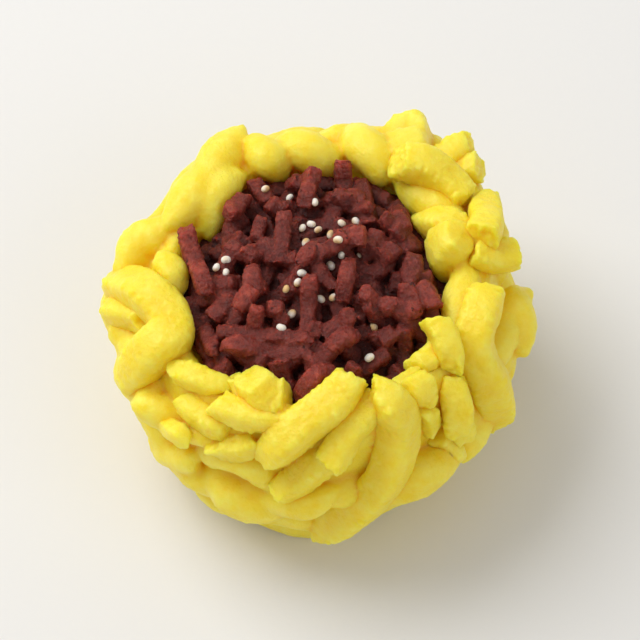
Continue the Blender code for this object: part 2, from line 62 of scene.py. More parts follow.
# The yellow strands that show from above, in the order they were laid: start, middle and end places,
# width as a share of the usual one, and how far the two tips stand off in mm.
LAID_STRANDS = (
    ((-32, 0.95), (-21, 0.85), (-8, 0.90), 1.05, 0.0, 0.0),
    ((10, 0.50), (22, 0.90), (38, 0.85), 1.00, 0.0, 0.0),
    ((22, 1.05), (36, 0.95), (46, 0.95), 1.00, 0.0, 0.0),
    ((-38, 1.00), (-25, 1.20), (-14, 1.00), 0.70, 0.0, 0.0),
    ((-60, 0.80), (-54, 0.75), (-38, 1.00), 0.75, 0.0, 0.0),
    ((-80, 1.00), (-72, 1.00), (-58, 1.25), 0.95, 0.0, 0.0),
    ((-58, 1.30), (-52, 1.25), (-44, 1.25), 0.90, 0.0, 0.0),
    ((-42, 1.25), (-37, 1.30), (-33, 1.25), 0.60, 0.0, 0.0),
    ((-96, 1.20), (-86, 1.25), (-80, 1.15), 0.75, 0.0, 0.0),
    ((-106, 1.45), (-100, 1.40), (-94, 1.35), 0.75, 0.0, 0.0),
    ((-114, 1.70), (-109, 1.50), (-100, 1.45), 1.10, 0.0, 0.0),
    ((-154, 1.60), (-136, 1.75), (-114, 1.90), 1.15, 2.4, 0.0),
    ((-98, 1.80), (-93, 2.30), (-86, 2.60), 0.95, 0.0, 0.0),
    ((146, 2.60), (130, 2.55), (116, 2.20), 1.10, 0.0, 0.0),
    ((96, 2.40), (84, 2.50), (68, 2.45), 0.95, 0.0, 0.0),
    ((97, 1.15), (91, 1.05), (84, 1.00), 0.80, 0.8, 0.8),
    ((86, 0.95), (79, 0.90), (70, 0.85), 0.95, 1.0, 1.0),
    ((96, 1.20), (88, 1.15), (79, 1.05), 0.85, 0.7, 0.7),
    ((60, 1.10), (57, 0.95), (50, 0.95), 0.75, 0.0, 0.0),
    ((194, 1.65), (184, 2.20), (174, 2.65), 1.10, 0.0, 0.0),
    ((170, 1.65), (162, 2.05), (152, 2.60), 1.15, 0.0, 0.0),
    ((204, 1.80), (200, 2.20), (197, 2.70), 1.00, 2.2, 0.0),
    ((215, 2.00), (229, 2.30), (240, 2.80), 1.00, 0.0, 0.0),
    ((-54, 1.10), (-44, 1.30), (-40, 1.30), 0.50, 0.0, 0.0),
    ((-32, 1.35), (-26, 1.35), (-20, 1.50), 0.65, 0.0, 0.0),
    ((-54, 1.70), (-45, 2.00), (-36, 2.30), 0.65, 0.0, 0.0),
    ((-36, 2.35), (-32, 2.35), (-28, 2.15), 0.50, 0.0, 0.0),
    ((-46, 1.50), (-40, 1.50), (-30, 1.50), 0.70, 0.0, 0.0),
    ((-28, 2.20), (-21, 2.25), (-13, 2.25), 1.10, 1.2, 1.8),
    ((-36, 1.80), (-24, 1.85), (-10, 1.95), 0.70, 0.0, 0.0),
    ((2, 1.45), (-4, 1.20), (-11, 1.05), 0.80, 0.0, 0.0),
    ((20, 2.10), (10, 1.70), (3, 1.45), 0.80, 0.0, 0.0),
    ((31, 2.35), (37, 2.35), (44, 2.30), 0.45, 0.5, 0.0),
    ((38, 2.10), (38, 1.80), (35, 1.60), 0.75, 0.0, 0.0),
    ((40, 1.10), (42, 1.00), (43, 0.92), 0.50, 0.0, 0.0),
    ((36, 1.60), (38, 1.40), (38, 1.20), 0.50, 0.0, 0.0),
    ((46, 1.25), (48, 1.15), (47, 1.00), 0.75, 0.0, 0.0),
    ((43, 2.35), (52, 2.35), (62, 2.40), 0.60, 0.0, 0.0),
    ((52, 1.60), (48, 1.40), (44, 1.20), 0.80, 0.0, 0.0),
    ((62, 2.30), (58, 2.10), (52, 1.80), 0.70, 0.8, 0.0),
    ((21, 2.10), (25, 1.35), (0, 0.60), 1.00, 0.0, 0.0),
    ((14, 2.30), (-3, 1.95), (-16, 1.35), 1.00, 1.2, 0.0),
    ((126, 2.70), (118, 2.45), (108, 2.10), 0.80, 0.0, 0.0),
    ((86, 1.75), (66, 1.65), (64, 0.85), 1.00, 0.0, 0.0),
    ((100, 2.05), (99, 1.80), (100, 1.55), 0.80, 0.0, 0.4),
    ((104, 2.15), (104, 2.55), (102, 2.95), 1.10, 0.5, 0.0),
    ((119, 1.60), (111, 1.80), (102, 1.95), 0.90, 0.4, 0.0),
    ((135, 1.55), (133, 1.55), (130, 1.55), 0.75, 0.0, 1.5),
    ((144, 1.60), (141, 1.60), (137, 1.55), 0.75, 1.0, 2.5),
    ((154, 1.65), (152, 1.60), (146, 1.95), 1.15, 2.0, 0.0),
    ((148, 2.15), (135, 1.95), (122, 1.80), 0.95, 0.0, 0.0),
    ((-96, 1.25), (-70, 2.10), (-66, 1.20), 1.10, 0.0, 0.0),
    ((-88, 1.25), (-84, 1.40), (-78, 1.60), 0.80, 0.0, 0.0),
)

# How many of those, the first ones, are pressed into the strands round them.
PRESSED = 23

# Which of them is the short one with flat cut ends.
CHUNK = 28

# Which of the loose ones melt into those under them.
SOFT = (45, 49)

# Rings of strands drawn by rule under those: rise, first and last azimuth, and how many.
STRAND_RINGS = (
    (0.38, 0, 360, 7),
    (0.66, 10, 370, 8),
    (0.92, 0, 360, 8),
    (1.20, 60, 300, 6),
    (1.45, 100, 260, 4),
)

# The red strands that show: start and end as (x, y) in mm, and how far the two tips stand up in mm.
RED_STRANDS = (
    ((-9.0, -1.2), (-11.9, -0.9), 0.0, 0.0),
    ((-9.3, -2.8), (-11.4, -4.8), 0.0, 0.0),
    ((-13.5, -6.6), (-12.6, -8.9), 0.0, 0.0),
    ((-12.3, -5.4), (-11.0, -9.2), 0.0, 0.0),
    ((-11.2, 8.5), (-11.3, 4.3), 0.8, 0.0),
    ((-8.1, 10.0), (-9.9, 7.0), 0.5, 0.0),
    ((-7.2, 12.4), (-5.4, 9.5), 1.0, 0.0),
    ((-5.4, 8.8), (-3.7, 7.8), 0.0, 0.0),
    ((-6.2, 6.9), (-6.9, 4.2), 0.0, 0.0),
    ((-9.8, 3.4), (-8.0, 1.8), 0.0, 0.0),
    ((-5.3, 3.8), (-7.9, 1.3), 0.0, 0.0),
    ((-3.8, 7.0), (-4.2, 0.8), 0.0, 0.0),
    ((-1.1, 11.1), (-1.6, 8.4), 0.0, 0.0),
    ((-3.2, 12.2), (-0.5, 11.6), 0.5, 0.5),
    ((2.4, 13.9), (2.7, 10.9), 1.5, 0.0),
    ((5.4, 14.6), (6.4, 8.2), 1.0, 0.0),
    ((2.7, 9.9), (4.8, 9.5), 0.0, 0.0),
    ((8.0, 7.7), (9.1, 5.4), 0.0, 0.0),
    ((8.8, 5.9), (11.2, 4.8), 0.0, 0.0),
    ((11.8, -2.6), (12.7, -5.3), 0.0, 0.0),
    ((10.8, -1.4), (12.1, -4.3), 0.0, 0.0),
    ((10.1, 2.5), (9.3, -1.4), 0.0, 0.0),
    ((9.0, -2.0), (10.0, -5.5), 0.0, 0.0),
    ((6.3, -7.9), (7.9, -6.7), 0.0, 0.0),
    ((6.2, 5.0), (4.8, 2.4), 0.0, 0.0),
    ((2.3, 4.6), (2.4, 2.2), 0.0, 0.0),
    ((3.9, 4.7), (4.0, 2.1), 0.0, 0.0),
    ((3.2, 0.7), (2.4, -3.6), 0.0, 0.0),
    ((-0.8, 0.6), (1.4, -2.3), 0.0, 0.0),
    ((-0.2, 2.4), (-2.1, -0.1), 0.0, 0.0),
    ((2.7, 3.1), (-0.2, 1.1), 0.0, 0.0),
    ((-1.1, -2.1), (-1.3, -7.0), 0.0, 0.0),
    ((-4.7, -5.2), (-4.7, -4.2), 0.5, 0.0),
    ((0.5, -7.7), (3.1, -5.8), 0.0, 0.0),
    ((-2.1, -14.2), (1.0, -11.3), 0.0, 0.0),
    ((-1.3, -11.1), (3.7, -7.7), 0.0, 0.0),
    ((-10.3, -8.7), (-1.0, -9.5), 0.0, 0.0),
    ((-10.7, -6.5), (-1.0, -8.5), 0.0, 0.0),
    ((4.7, -3.7), (7.4, -4.8), 0.0, 0.0),
    ((6.4, 1.5), (8.1, 3.1), 0.0, 0.5),
    ((-7.2, 0.1), (-7.1, -3.2), 0.0, 0.0),
    ((-7.1, -3.0), (-8.6, -4.9), 0.0, 0.0),
    ((-14.4, 5.4), (-12.0, -2.4), 2.8, 1.4),
)

# The poppy seeds: (x, y) in mm, on a rounded surface over the heap.
SEEDS = (
    (-5.9, 10.7), (-3.2, 9.2), (-0.7, 8.4), (-1.8, 4.7), (-0.9, 5.2), (-0.2, 4.4), (2.3, 5.4),
    (3.8, 5.7), (1.2, 3.8), (2.0, 3.0), (-1.5, 2.7), (-10.0, 1.4), (-10.9, 0.7), (-10.0, -0.2),
    (2.3, 1.4), (4.3, 1.4), (1.2, -0.2), (-2.0, -1.1), (-2.4, -2.2), (-3.5, -2.9), (0.0, -4.1),
    (1.5, -4.0), (-3.0, -5.8), (-4.1, -7.2), (5.7, -6.9), (5.2, -10.2),
)

# The most triangles that a piece keeps.
MOST_TRIANGLES = 185_000

# The most that a random phase takes, in radians: a little over a whole turn.
FULL_TURN = 6.3


class Tip(Enum):
    """How a strand ends."""

    ROUND = "round"
    CUT = "cut"
    TORN = "torn"


# Helpers for operators


def only(item: Solid) -> None:
    """Selects one object alone and makes it active.

    Args:
        item: The object that the next operators act on.
    """
    for other in bpy.context.selected_objects:
        other.select_set(False)
    item.select_set(True)
    bpy.context.view_layer.objects.active = item


def enter_edit() -> None:
    """Goes into edit mode."""
    bpy.ops.object.mode_set(mode="EDIT")


def leave_edit() -> None:
    """Goes back to object mode."""
    bpy.ops.object.mode_set(mode="OBJECT")


def select_parts(item: Solid, kind: str, chosen: list[int]) -> None:
    """Selects edges or faces of a mesh, and nothing else, and goes into edit mode.

    Args:
        item: The object, in object mode.
        kind: What is selected: "edges" or "polygons".
        chosen: Their numbers.
    """
    for other in ("vertices", "edges", "polygons"):
        parts = getattr(item.data, other)
        marks = np.zeros(len(parts), bool)
        if other == kind:
            marks[chosen] = True
        parts.foreach_set("select", marks)
    only(item)
    bpy.context.tool_settings.mesh_select_mode = (False, kind == "edges", kind == "polygons")
    enter_edit()


def apply_modifiers(item: Solid) -> None:
    """Applies an object's modifiers in their order.

    Args:
        item: The object that has them.
    """
    only(item)
    for modifier in list(item.modifiers):
        bpy.ops.object.modifier_apply(modifier=modifier.name)


def copy_of(item: Solid, name: str) -> Solid:
    """Copies an object with a mesh of its own.

    Args:
        item: The object to copy.
        name: The copy's name.

    Returns:
        The copy, linked to the scene.
    """
    twin = item.copy()
    twin.data = item.data.copy()
    twin.name = name
    bpy.context.scene.collection.objects.link(twin)
    return twin


def joined(pieces: list[Solid], name: str) -> Solid:
    """Joins pieces into one object, as they are.

    Args:
        pieces: The objects to join; all but the first are used up.
        name: The name of the joined object.

    Returns:
        The joined object.
    """
    only(pieces[0])
    for piece in pieces[1:]:
        piece.select_set(True)
    bpy.ops.object.join()
    whole = bpy.context.view_layer.objects.active
    whole.name = name
    return whole


def united(pieces: list[Solid], name: str) -> Solid:
    """Unites pieces that overlap into one closed body.

    Args:
        pieces: The pieces, which are used up.
        name: The body's name.

    Returns:
        The body.
    """
    whole = pieces[0]
    whole.name = name
    others = bpy.data.collections.new(name)
    bpy.context.scene.collection.children.link(others)
    for piece in pieces[1:]:
        others.objects.link(piece)
    unite = whole.modifiers.new("Unite", "BOOLEAN")
    unite.operation = "UNION"
    unite.operand_type = "COLLECTION"
    unite.collection = others
    unite.solver = "MANIFOLD"
    apply_modifiers(whole)
    for piece in pieces[1:]:
        bpy.data.objects.remove(piece)
    bpy.data.collections.remove(others)
    return whole


def drawn_up(name: str, sides: int, rings: list[tuple[float, float]]) -> Solid:
    """Models a closed shell: a disc that is drawn up ring by ring.

    Args:
        name: The shell's name.
        sides: How many sides its rings have.
        rings: The radius and height of each ring, the bottom disc first.

    Returns:
        The shell, with its faces outward.
    """
    (radius, height), *others = rings
    bpy.ops.mesh.primitive_circle_add(vertices=sides, radius=radius, fill_type="NGON",
                                      location=(0, 0, height))
    shell = bpy.context.object
    shell.name = name
    enter_edit()
    bpy.ops.mesh.select_all(action="SELECT")
    bpy.ops.mesh.flip_normals()
    for next_radius, next_height in others:
        bpy.ops.mesh.extrude_region_move(TRANSFORM_OT_translate={"value": (0, 0, next_height - height)})
        share = next_radius / radius
        bpy.ops.transform.resize(value=(share, share, 1), center_override=(0, 0, next_height))
        radius, height = next_radius, next_height
    bpy.ops.mesh.select_all(action="SELECT")
    bpy.ops.mesh.normals_make_consistent(inside=False)
    leave_edit()
    only(shell)
    bpy.ops.object.transform_apply(location=True, rotation=True, scale=True)
    return shell


def places_of(mesh: bpy.types.Mesh) -> np.ndarray:
    """Reads the places of a mesh's vertices.

    Args:
        mesh: The mesh.

    Returns:
        The places, one row each.
    """
    places = np.empty(len(mesh.vertices) * 3, np.float32)
    mesh.vertices.foreach_get("co", places)
    return places.reshape(-1, 3)


def move_to(mesh: bpy.types.Mesh, places: np.ndarray) -> None:
    """Moves a mesh's vertices to new places, one row each."""
    mesh.vertices.foreach_set("co", np.ascontiguousarray(places, np.float32).ravel())
    mesh.update()


def write_down(item: Solid, name: str, values: np.ndarray) -> None:
    """Writes a value from 0 to 1 for each vertex into an attribute, which the finish reads.

    Args:
        item: The object.
        name: The attribute's name.
        values: The values, which are clipped.
    """
    layer = item.data.attributes.new(name, "FLOAT", "POINT")
    layer.data.foreach_set("value", np.clip(values, 0, 1).astype(np.float32))


def triangles_of(item: Solid) -> int:
    """How many triangles an object's faces make."""
    return sum(len(face.vertices) - 2 for face in item.data.polygons)


def clouds(name: str, size: float, depth: int = 1) -> bpy.types.Texture:
    """Makes soft noise for a Displace modifier.

    Args:
        name: The texture's name.
        size: How wide its lumps are, in metres.
        depth: How many finer layers it has.

    Returns:
        The texture.
    """
    texture = bpy.data.textures.new(name, "CLOUDS")
    texture.noise_scale = size
    texture.noise_depth = depth
    return texture


def add_displace(item: Solid, texture: bpy.types.Texture, strength: float) -> None:
    """Adds a Displace modifier that moves the surface in and out by noise.

    Args:
        item: The object.
        texture: The noise.
        strength: How far it moves in all, in metres.
    """
    displace = item.modifiers.new(texture.name, "DISPLACE")
    displace.texture = texture
    displace.texture_coords = "LOCAL"
    displace.strength = strength
    displace.mid_level = 0.5


def add_remesh(item: Solid, voxel: float) -> None:
    """Adds a modifier that makes the surface anew on an even grid, as one closed skin.

    Args:
        item: The object.
        voxel: The grid's step, in metres.
    """
    remesh = item.modifiers.new("Even grid", "REMESH")
    remesh.mode = "VOXEL"
    remesh.voxel_size = voxel


def add_thinning(item: Solid, share: float) -> None:
    """Adds a modifier that joins small faces where a surface is smoothest.

    Args:
        item: The object.
        share: The share of the faces that stay.
    """
    item.modifiers.new("Thin out", "DECIMATE").ratio = share


def thin_to_limit(item: Solid) -> None:
    """Applies an object's modifiers, and thins it where too many triangles come out.

    Args:
        item: The object.
    """
    apply_modifiers(item)
    add_thinning(item, min(1.0, MOST_TRIANGLES / triangles_of(item)))
    apply_modifiers(item)


# Finishes


class Recipe:
    """The nodes of one material: a surface shader and what feeds it.

    Attributes:
        material: The material.
        shader: Its surface shader.
    """

    def __init__(self, name: str) -> None:
        """Makes the material.

        Args:
            name: Its name.
        """
        self.material = bpy.data.materials.new(name)
        self.material.use_nodes = True
        self.nodes = self.material.node_tree.nodes
        self.links = self.material.node_tree.links
        self.shader = self.nodes["Principled BSDF"]
        self.place = self.nodes.new("ShaderNodeTexCoord").outputs["Object"]

    def feed(self, socket: str, value: Socket) -> None:
        """Links a value to one of the shader's sockets."""
        self.links.new(value, self.shader.inputs[socket])

    def noise(self, scale: float, detail: float, roughness: float = 0.5) -> Socket:
        """Adds noise that is fixed to the object.

        Args:
            scale: Lumps in a metre.
            detail: How many finer layers it has.
            roughness: How strong those are.

        Returns:
            The noise's value.
        """
        grain = self.nodes.new("ShaderNodeTexNoise")
        grain.inputs["Scale"].default_value = scale
        grain.inputs["Detail"].default_value = detail
        grain.inputs["Roughness"].default_value = roughness
        self.links.new(self.place, grain.inputs["Vector"])
        return grain.outputs["Fac"]

    def ramp(self, value: Socket, stops: Stops) -> Socket:
        """Turns a value into a colour.

        Args:
            value: The value.
            stops: Values and their colours, in order.

        Returns:
            The colour.
        """
        ramp = self.nodes.new("ShaderNodeValToRGB")
        while len(ramp.color_ramp.elements) < len(stops):
            ramp.color_ramp.elements.new(1.0)
        for element, (position, colour) in zip(ramp.color_ramp.elements, stops):
            element.position = position
            element.color = (*colour, 1.0)
        self.links.new(value, ramp.inputs["Fac"])
        return ramp.outputs["Color"]

    def tinted(self, colour: Socket, attribute: str, stops: Stops) -> Socket:
        """Multiplies a colour by a ramp over one of the piece's attributes.

        Args:
            colour: The colour.
            attribute: The attribute's name.
            stops: The ramp's values and colours.

        Returns:
            The product.
        """
        read = self.nodes.new("ShaderNodeAttribute")
        read.attribute_name = attribute
        product = self.nodes.new("ShaderNodeVectorMath")
        product.operation = "MULTIPLY"
        self.links.new(colour, product.inputs[0])
        self.links.new(self.ramp(read.outputs["Fac"], stops), product.inputs[1])
        return product.outputs["Vector"]

    def spread(self, value: Socket, low: float, high: float) -> Socket:
        """Maps noise from 0.3 to 0.7 onto a range of its own.

        Args:
            value: The noise's value.
            low: What 0.3 becomes.
            high: What 0.7 becomes.

        Returns:
            The mapped value.
        """
        mapped = self.nodes.new("ShaderNodeMapRange")
        for socket, limit in (("From Min", 0.3), ("From Max", 0.7), ("To Min", low), ("To Max", high)):
            mapped.inputs[socket].default_value = limit
        self.links.new(value, mapped.inputs["Value"])
        return mapped.outputs["Result"]

    def bump(self, *layers: tuple[Socket, float]) -> None:
        """Roughens the surface.

        Args:
            *layers: Heights, coarse ones first, each with how far it reaches in metres.
        """
        normal = None
        for height, reach in layers:
            node = self.nodes.new("ShaderNodeBump")
            node.inputs["Strength"].default_value = 1.0
            node.inputs["Distance"].default_value = reach
            self.links.new(height, node.inputs["Height"])
            if normal is not None:
                self.links.new(normal, node.inputs["Normal"])
            normal = node.outputs["Normal"]
        self.feed("Normal", normal)


@dataclass(frozen=True)
class Finish:
    """What a piece is made of.

    Attributes:
        name: The material's name.
        slot: The record's material slot. It is not used.
    """

    name: str
    slot: str

    def make(self) -> bpy.types.Material:
        """Makes the material."""
        raise NotImplementedError


@dataclass(frozen=True)
class YellowPaste(Finish):
    """Sieved white bean paste dyed yellow: soft, faintly moist, and lit through where it is thin.

    Attributes:
        pale: Its colour in pale blotches.
        deep: Its colour in deep ones.
        blotch: How many blotches lie in a metre.
        grain: How many grains lie in a metre.
        crease_shade_and_sheen: What multiplies the colour: a painted milky sheen on the ridges at 0, and
            painted orange shade in each crease at 1.
        through: How far light goes in.
    """

    name: str = "yellow_paste"
    slot: str = "yellow_paste"
    pale: Colour = (0.93, 0.78, 0.080)
    deep: Colour = (0.88, 0.66, 0.010)
    blotch: float = 420
    grain: float = 3000
    # Painted milky sheen on the ridges and painted orange shade in each crease.
    crease_shade_and_sheen: Stops = ((0.0, (1.02, 1.03, 1.5)), (0.3, (1.0, 1.0, 1.0)),
                      (0.6, (1.0, 0.90, 0.55)), (1.0, (1.0, 0.74, 0.25)))
    through: float = 2.2 * MM

    def make(self) -> bpy.types.Material:
        """Makes the material.

        Returns:
            The material.
        """
        recipe = Recipe(self.name)
        grain = recipe.noise(self.grain, 3, 0.6)
        colour = recipe.ramp(recipe.noise(self.blotch, 5, 0.7), ((0.3, self.deep), (0.7, self.pale)))
        # The colour is painted paler on the ridges and darker, more orange, in each crease: painted sheen and
        # shade.
        recipe.feed("Base Color", recipe.tinted(colour, "crease", self.crease_shade_and_sheen))
        recipe.feed("Roughness", recipe.spread(grain, 0.34, 0.48))
        recipe.shader.inputs["Specular IOR Level"].default_value = 0.36
        recipe.shader.inputs["Subsurface Weight"].default_value = 1.0
        recipe.shader.inputs["Subsurface Radius"].default_value = (1.0, 0.8, 0.22)
        recipe.shader.inputs["Subsurface Scale"].default_value = self.through
        recipe.bump((recipe.noise(1000, 2), 0.15 * MM), (grain, 0.12 * MM))
        return recipe.material


@dataclass(frozen=True)
class RedPaste(Finish):
    """Red bean paste with its skins: grainy, moist, purple-brown, and redder where it is thin.

    Attributes:
        dark: Its colour in dark blotches.
        mid: Its colour between them.
        light: Its colour in light ones.
        blotch: How many blotches lie in a metre.
        grain: How many grains lie in a metre.
        depth_shade_and_light: What multiplies the colour: painted light on the heap's crest at 0, and painted
            shade in its gaps at 1.
        through: How far light goes in.
    """

    name: str = "red_bean_paste"
    slot: str = "red_bean_paste"
    dark: Colour = (0.120, 0.014, 0.009)
    mid: Colour = (0.205, 0.028, 0.017)
    light: Colour = (0.345, 0.060, 0.034)
    blotch: float = 1100
    grain: float = 5200
    # Painted light on the heap's crest and painted shade in its gaps.
    depth_shade_and_light: Stops = ((0.0, (1.45, 1.50, 1.40)), (0.3, (1.0, 1.0, 1.0)),
                     (0.6, (0.76, 0.66, 0.64)), (1.0, (0.32, 0.20, 0.18)))
    through: float = 1.3 * MM

    def make(self) -> bpy.types.Material:
        """Makes the material.

        Returns:
            The material.
        """
        recipe = Recipe(self.name)
        grain = recipe.noise(self.grain, 3, 0.65)
        blotches = recipe.noise(self.blotch, 5, 0.66)
        colour = recipe.ramp(blotches, ((0.3, self.dark), (0.5, self.mid), (0.72, self.light)))
        # The colour is painted lighter on the heap's crest and darker in its gaps: painted light and shade.
        recipe.feed("Base Color", recipe.tinted(colour, "depth", self.depth_shade_and_light))
        recipe.feed("Roughness", recipe.spread(grain, 0.24, 0.5))
        recipe.shader.inputs["Specular IOR Level"].default_value = 0.42
        recipe.shader.inputs["Subsurface Weight"].default_value = 0.85
        recipe.shader.inputs["Subsurface Radius"].default_value = (1.0, 0.26, 0.13)
        recipe.shader.inputs["Subsurface Scale"].default_value = self.through
        recipe.bump((recipe.noise(1900, 2), 0.14 * MM), (grain, 0.22 * MM))
        return recipe.material


@dataclass(frozen=True)
class PoppySeed(Finish):
    """White poppy seeds: matt, netted, and here and there toasted tan.

    Attributes:
        white: The colour of most.
        toasted: The colour of some.
        tone: How many of its blotches lie in a metre.
        net: How many meshes of its net lie in a metre.
    """

    name: str = "poppy_seed"
    slot: str = "red_bean_paste"
    white: Colour = (0.86, 0.80, 0.70)
    toasted: Colour = (0.72, 0.47, 0.20)
    tone: float = 520
    net: float = 5200

    def make(self) -> bpy.types.Material:
        """Makes the material.

        Returns:
            The material.
        """
        recipe = Recipe(self.name)
        tone = recipe.noise(self.tone, 1)
        recipe.feed("Base Color", recipe.ramp(tone, ((0.46, self.white), (0.66, self.toasted))))
        recipe.shader.inputs["Roughness"].default_value = 0.6
        recipe.shader.inputs["Subsurface Weight"].default_value = 0.3
        recipe.shader.inputs["Subsurface Radius"].default_value = (1.0, 0.8, 0.5)
        recipe.shader.inputs["Subsurface Scale"].default_value = 0.3 * MM
        recipe.bump((recipe.noise(self.net, 1), 0.06 * MM))
        return recipe.material


@dataclass(frozen=True)
class PaleCard(Finish):
    """The plain pale floor.

    Attributes:
        colour: Its colour.
    """

    name: str = "pale_floor"
    slot: str = ""
    colour: Colour = (0.78, 0.77, 0.75)

    def make(self) -> bpy.types.Material:
        """Makes the material.

        Returns:
            The material.
        """
        recipe = Recipe(self.name)
        recipe.shader.inputs["Base Color"].default_value = (*self.colour, 1.0)
        recipe.shader.inputs["Roughness"].default_value = 0.8
        recipe.bump((recipe.noise(900, 2), 0.02 * MM))
        return recipe.material


# Shapes


@dataclass
class Wall:
    """The rounded wall that the yellow strands lie on, and the hollow inside it.

    Attributes:
        stations: Radius and height at rise 0, 1, 2 and 3. Quarter ellipses join them.
        oval: How much longer the plan is than it is wide, as a share.
        oval_azimuth: Where it is longest, in degrees.
        core_inset: How far the core's surface lies under the wall.
        core_sides: How many sides the core has.
        core_rings: How many rings it has from one station to the next.
    """

    stations: tuple[tuple[float, float], ...] = (
        (12.4 * MM, 0.0), (20.3 * MM, 14.5 * MM), (16.7 * MM, 24.0 * MM), (14.4 * MM, 20.5 * MM))
    oval: float = 0.035
    oval_azimuth: float = 140
    core_inset: float = 0.6 * MM
    core_sides: int = 72
    core_rings: int = 8

    def stretch(self, azimuth: float) -> float:
        """How much the radius grows at an azimuth in degrees."""
        return 1 + self.oval * math.cos(math.radians(2 * (azimuth - self.oval_azimuth)))

    def profile(self, rise: float, lift: float = 0.0) -> tuple[float, float]:
        """Finds a place on the wall's outline.

        Args:
            rise: How far up the wall it is.
            lift: How far it is moved out along the wall's normal.

        Returns:
            Its radius and its height.
        """
        arc = min(max(int(rise), 0), 2)
        (radius, height), (next_radius, next_height) = self.stations[arc:arc + 2]
        turn = (rise - arc) * math.pi / 2
        across, up = next_radius - radius, next_height - height
        sine, cosine = math.sin(turn), math.cos(turn)
        if arc == 1:
            place = Vector((radius + across * (1 - cosine), height + up * sine))
            along = Vector((across * sine, up * cosine))
        else:
            place = Vector((radius + across * sine, height + up * (1 - cosine)))
            along = Vector((across * cosine, up * sine))
        along.normalize()
        return place.x + lift * along.y, place.y - lift * along.x

    def point(self, azimuth: float, rise: float, lift: float = 0.0) -> Vector:
        """Finds a place on the wall, or lifted off it.

        Args:
            azimuth: Where it is round the wall, in degrees from the front.
            rise: How far up the wall it is.
            lift: How far it is off the wall.

        Returns:
            The place.
        """
        radius, height = self.profile(rise, lift)
        radius *= self.stretch(azimuth)
        turn = math.radians(azimuth)
        return Vector((radius * math.sin(turn), -radius * math.cos(turn), height))

    def core(self, name: str) -> Solid:
        """Models the core: a disc drawn up to the wall's shape, over the rim and down the hollow.

        Args:
            name: The core's name.

        Returns:
            The core, a closed shell.
        """
        rings = [self.profile(step / self.core_rings, -self.core_inset if step else 0.0)
                 for step in range(3 * self.core_rings + 1)]
        core = drawn_up(name, self.core_sides, rings)
        places = places_of(core.data)
        azimuths = np.degrees(np.arctan2(places[:, 0], -places[:, 1]))
        grow = 1 + self.oval * np.cos(np.radians(2 * (azimuths - self.oval_azimuth)))
        places[:, :2] *= grow[:, None]
        move_to(core.data, places)
        return core


# How each kind of tip closes: insets and rises of its rings, as shares of the strand's half width.
TIP_RINGS = {
    Tip.ROUND: ((0.16, 0.20), (0.26, 0.16), (0.30, 0.06)),
    Tip.CUT: ((0.07, 0.06), (0.30, 0.02), (0.30, -0.02)),
    Tip.TORN: ((0.04, 0.07), (0.08, 0.06), (0.16, 0.04), (0.18, 0.02), (0.20, 0.0), (0.18, 0.0)),
}


@dataclass
class StrandModel:
    """A straight strand of paste, modelled once and bent to each place where one lies.

    Attributes:
        width: Its width.
        length: Its length.
        sides: How many faces go round it.
        ring_gap: How far apart its rings are.
    """

    width: float
    length: float
    sides: int
    ring_gap: float

    @staticmethod
    def caps(strand: Solid, side: int) -> list[int]:
        """The numbers of the many-sided faces that close a strand's top (1) or bottom (-1)."""
        return [face.index for face in strand.data.polygons
                if face.center.z * side > 0 and len(face.vertices) > 4]

    def model(self, tip: Tip) -> Solid:
        """Models the straight strand along X, with its first tip at X = 0.

        Args:
            tip: How both of its ends look.

        Returns:
            The strand.
        """
        radius = self.width / 2
        bpy.ops.mesh.primitive_cylinder_add(vertices=self.sides, radius=radius, depth=self.length,
                                            end_fill_type="NGON", location=(0, 0, 0))
        strand = bpy.context.object
        strand.name = "strand_" + tip.value
        heights = places_of(strand.data)[:, 2]
        long_edges = [edge.index for edge in strand.data.edges
                      if abs(heights[edge.vertices[0]] - heights[edge.vertices[1]]) > radius]
        select_parts(strand, "edges", long_edges)
        bpy.ops.mesh.subdivide(number_cuts=max(2, round(self.length / self.ring_gap) - 1))
        leave_edit()
        for side in (-1, 1):
            for inset, rise in TIP_RINGS[tip]:
                select_parts(strand, "polygons", self.caps(strand, side))
                bpy.ops.mesh.inset(thickness=inset * radius, depth=0)
                bpy.ops.transform.translate(value=(0, 0, side * rise * radius))
                leave_edit()
        for side in (-1, 1):
            select_parts(strand, "polygons", self.caps(strand, side))
            bpy.ops.mesh.poke()
            leave_edit()
        ends = np.flatnonzero(np.abs(places_of(strand.data)[:, 2]) > self.length / 2 - 0.05 * radius)
        strand.vertex_groups.new(name="tip").add(ends.tolist(), 1.0, "REPLACE")
        only(strand)
        strand.rotation_euler = (0, math.pi / 2, 0)
        strand.location = (self.length / 2, 0, 0)
        bpy.ops.object.transform_apply(location=True, rotation=True, scale=True)
        return strand


@dataclass
class StrandPath:
    """Where one strand lies.

    Attributes:
        places: Points along its middle line.
        width: How wide it is.
        tip: How it ends.
    """

    places: list[Vector]
    width: float
    tip: Tip

    def smooth_line(self, gap: float) -> np.ndarray:
        """Points close together on a smooth curve through the places.

        Args:
            gap: How far apart the points are, roughly.

        Returns:
            The points, one row each.
        """
        line = np.array([tuple(place) for place in self.places])
        padded = np.vstack([2 * line[0] - line[1], line, 2 * line[-1] - line[-2]])
        points = []
        for a, b, c, d in zip(padded, padded[1:], padded[2:], padded[3:]):
            count = max(2, int(np.linalg.norm(c - b) / gap))
            for t in np.arange(count) / count:
                points.append(0.5 * (2 * b + (c - a) * t + (2 * a - 5 * b + 4 * c - d) * t ** 2
                                     + (3 * b - a - 3 * c + d) * t ** 3))
        points.append(line[-1])
        return np.array(points)

    def length(self) -> float:
        """The length of the smooth line."""
        line = self.smooth_line(0.3 * MM)
        return float(np.linalg.norm(np.diff(line, axis=0), axis=1).sum())


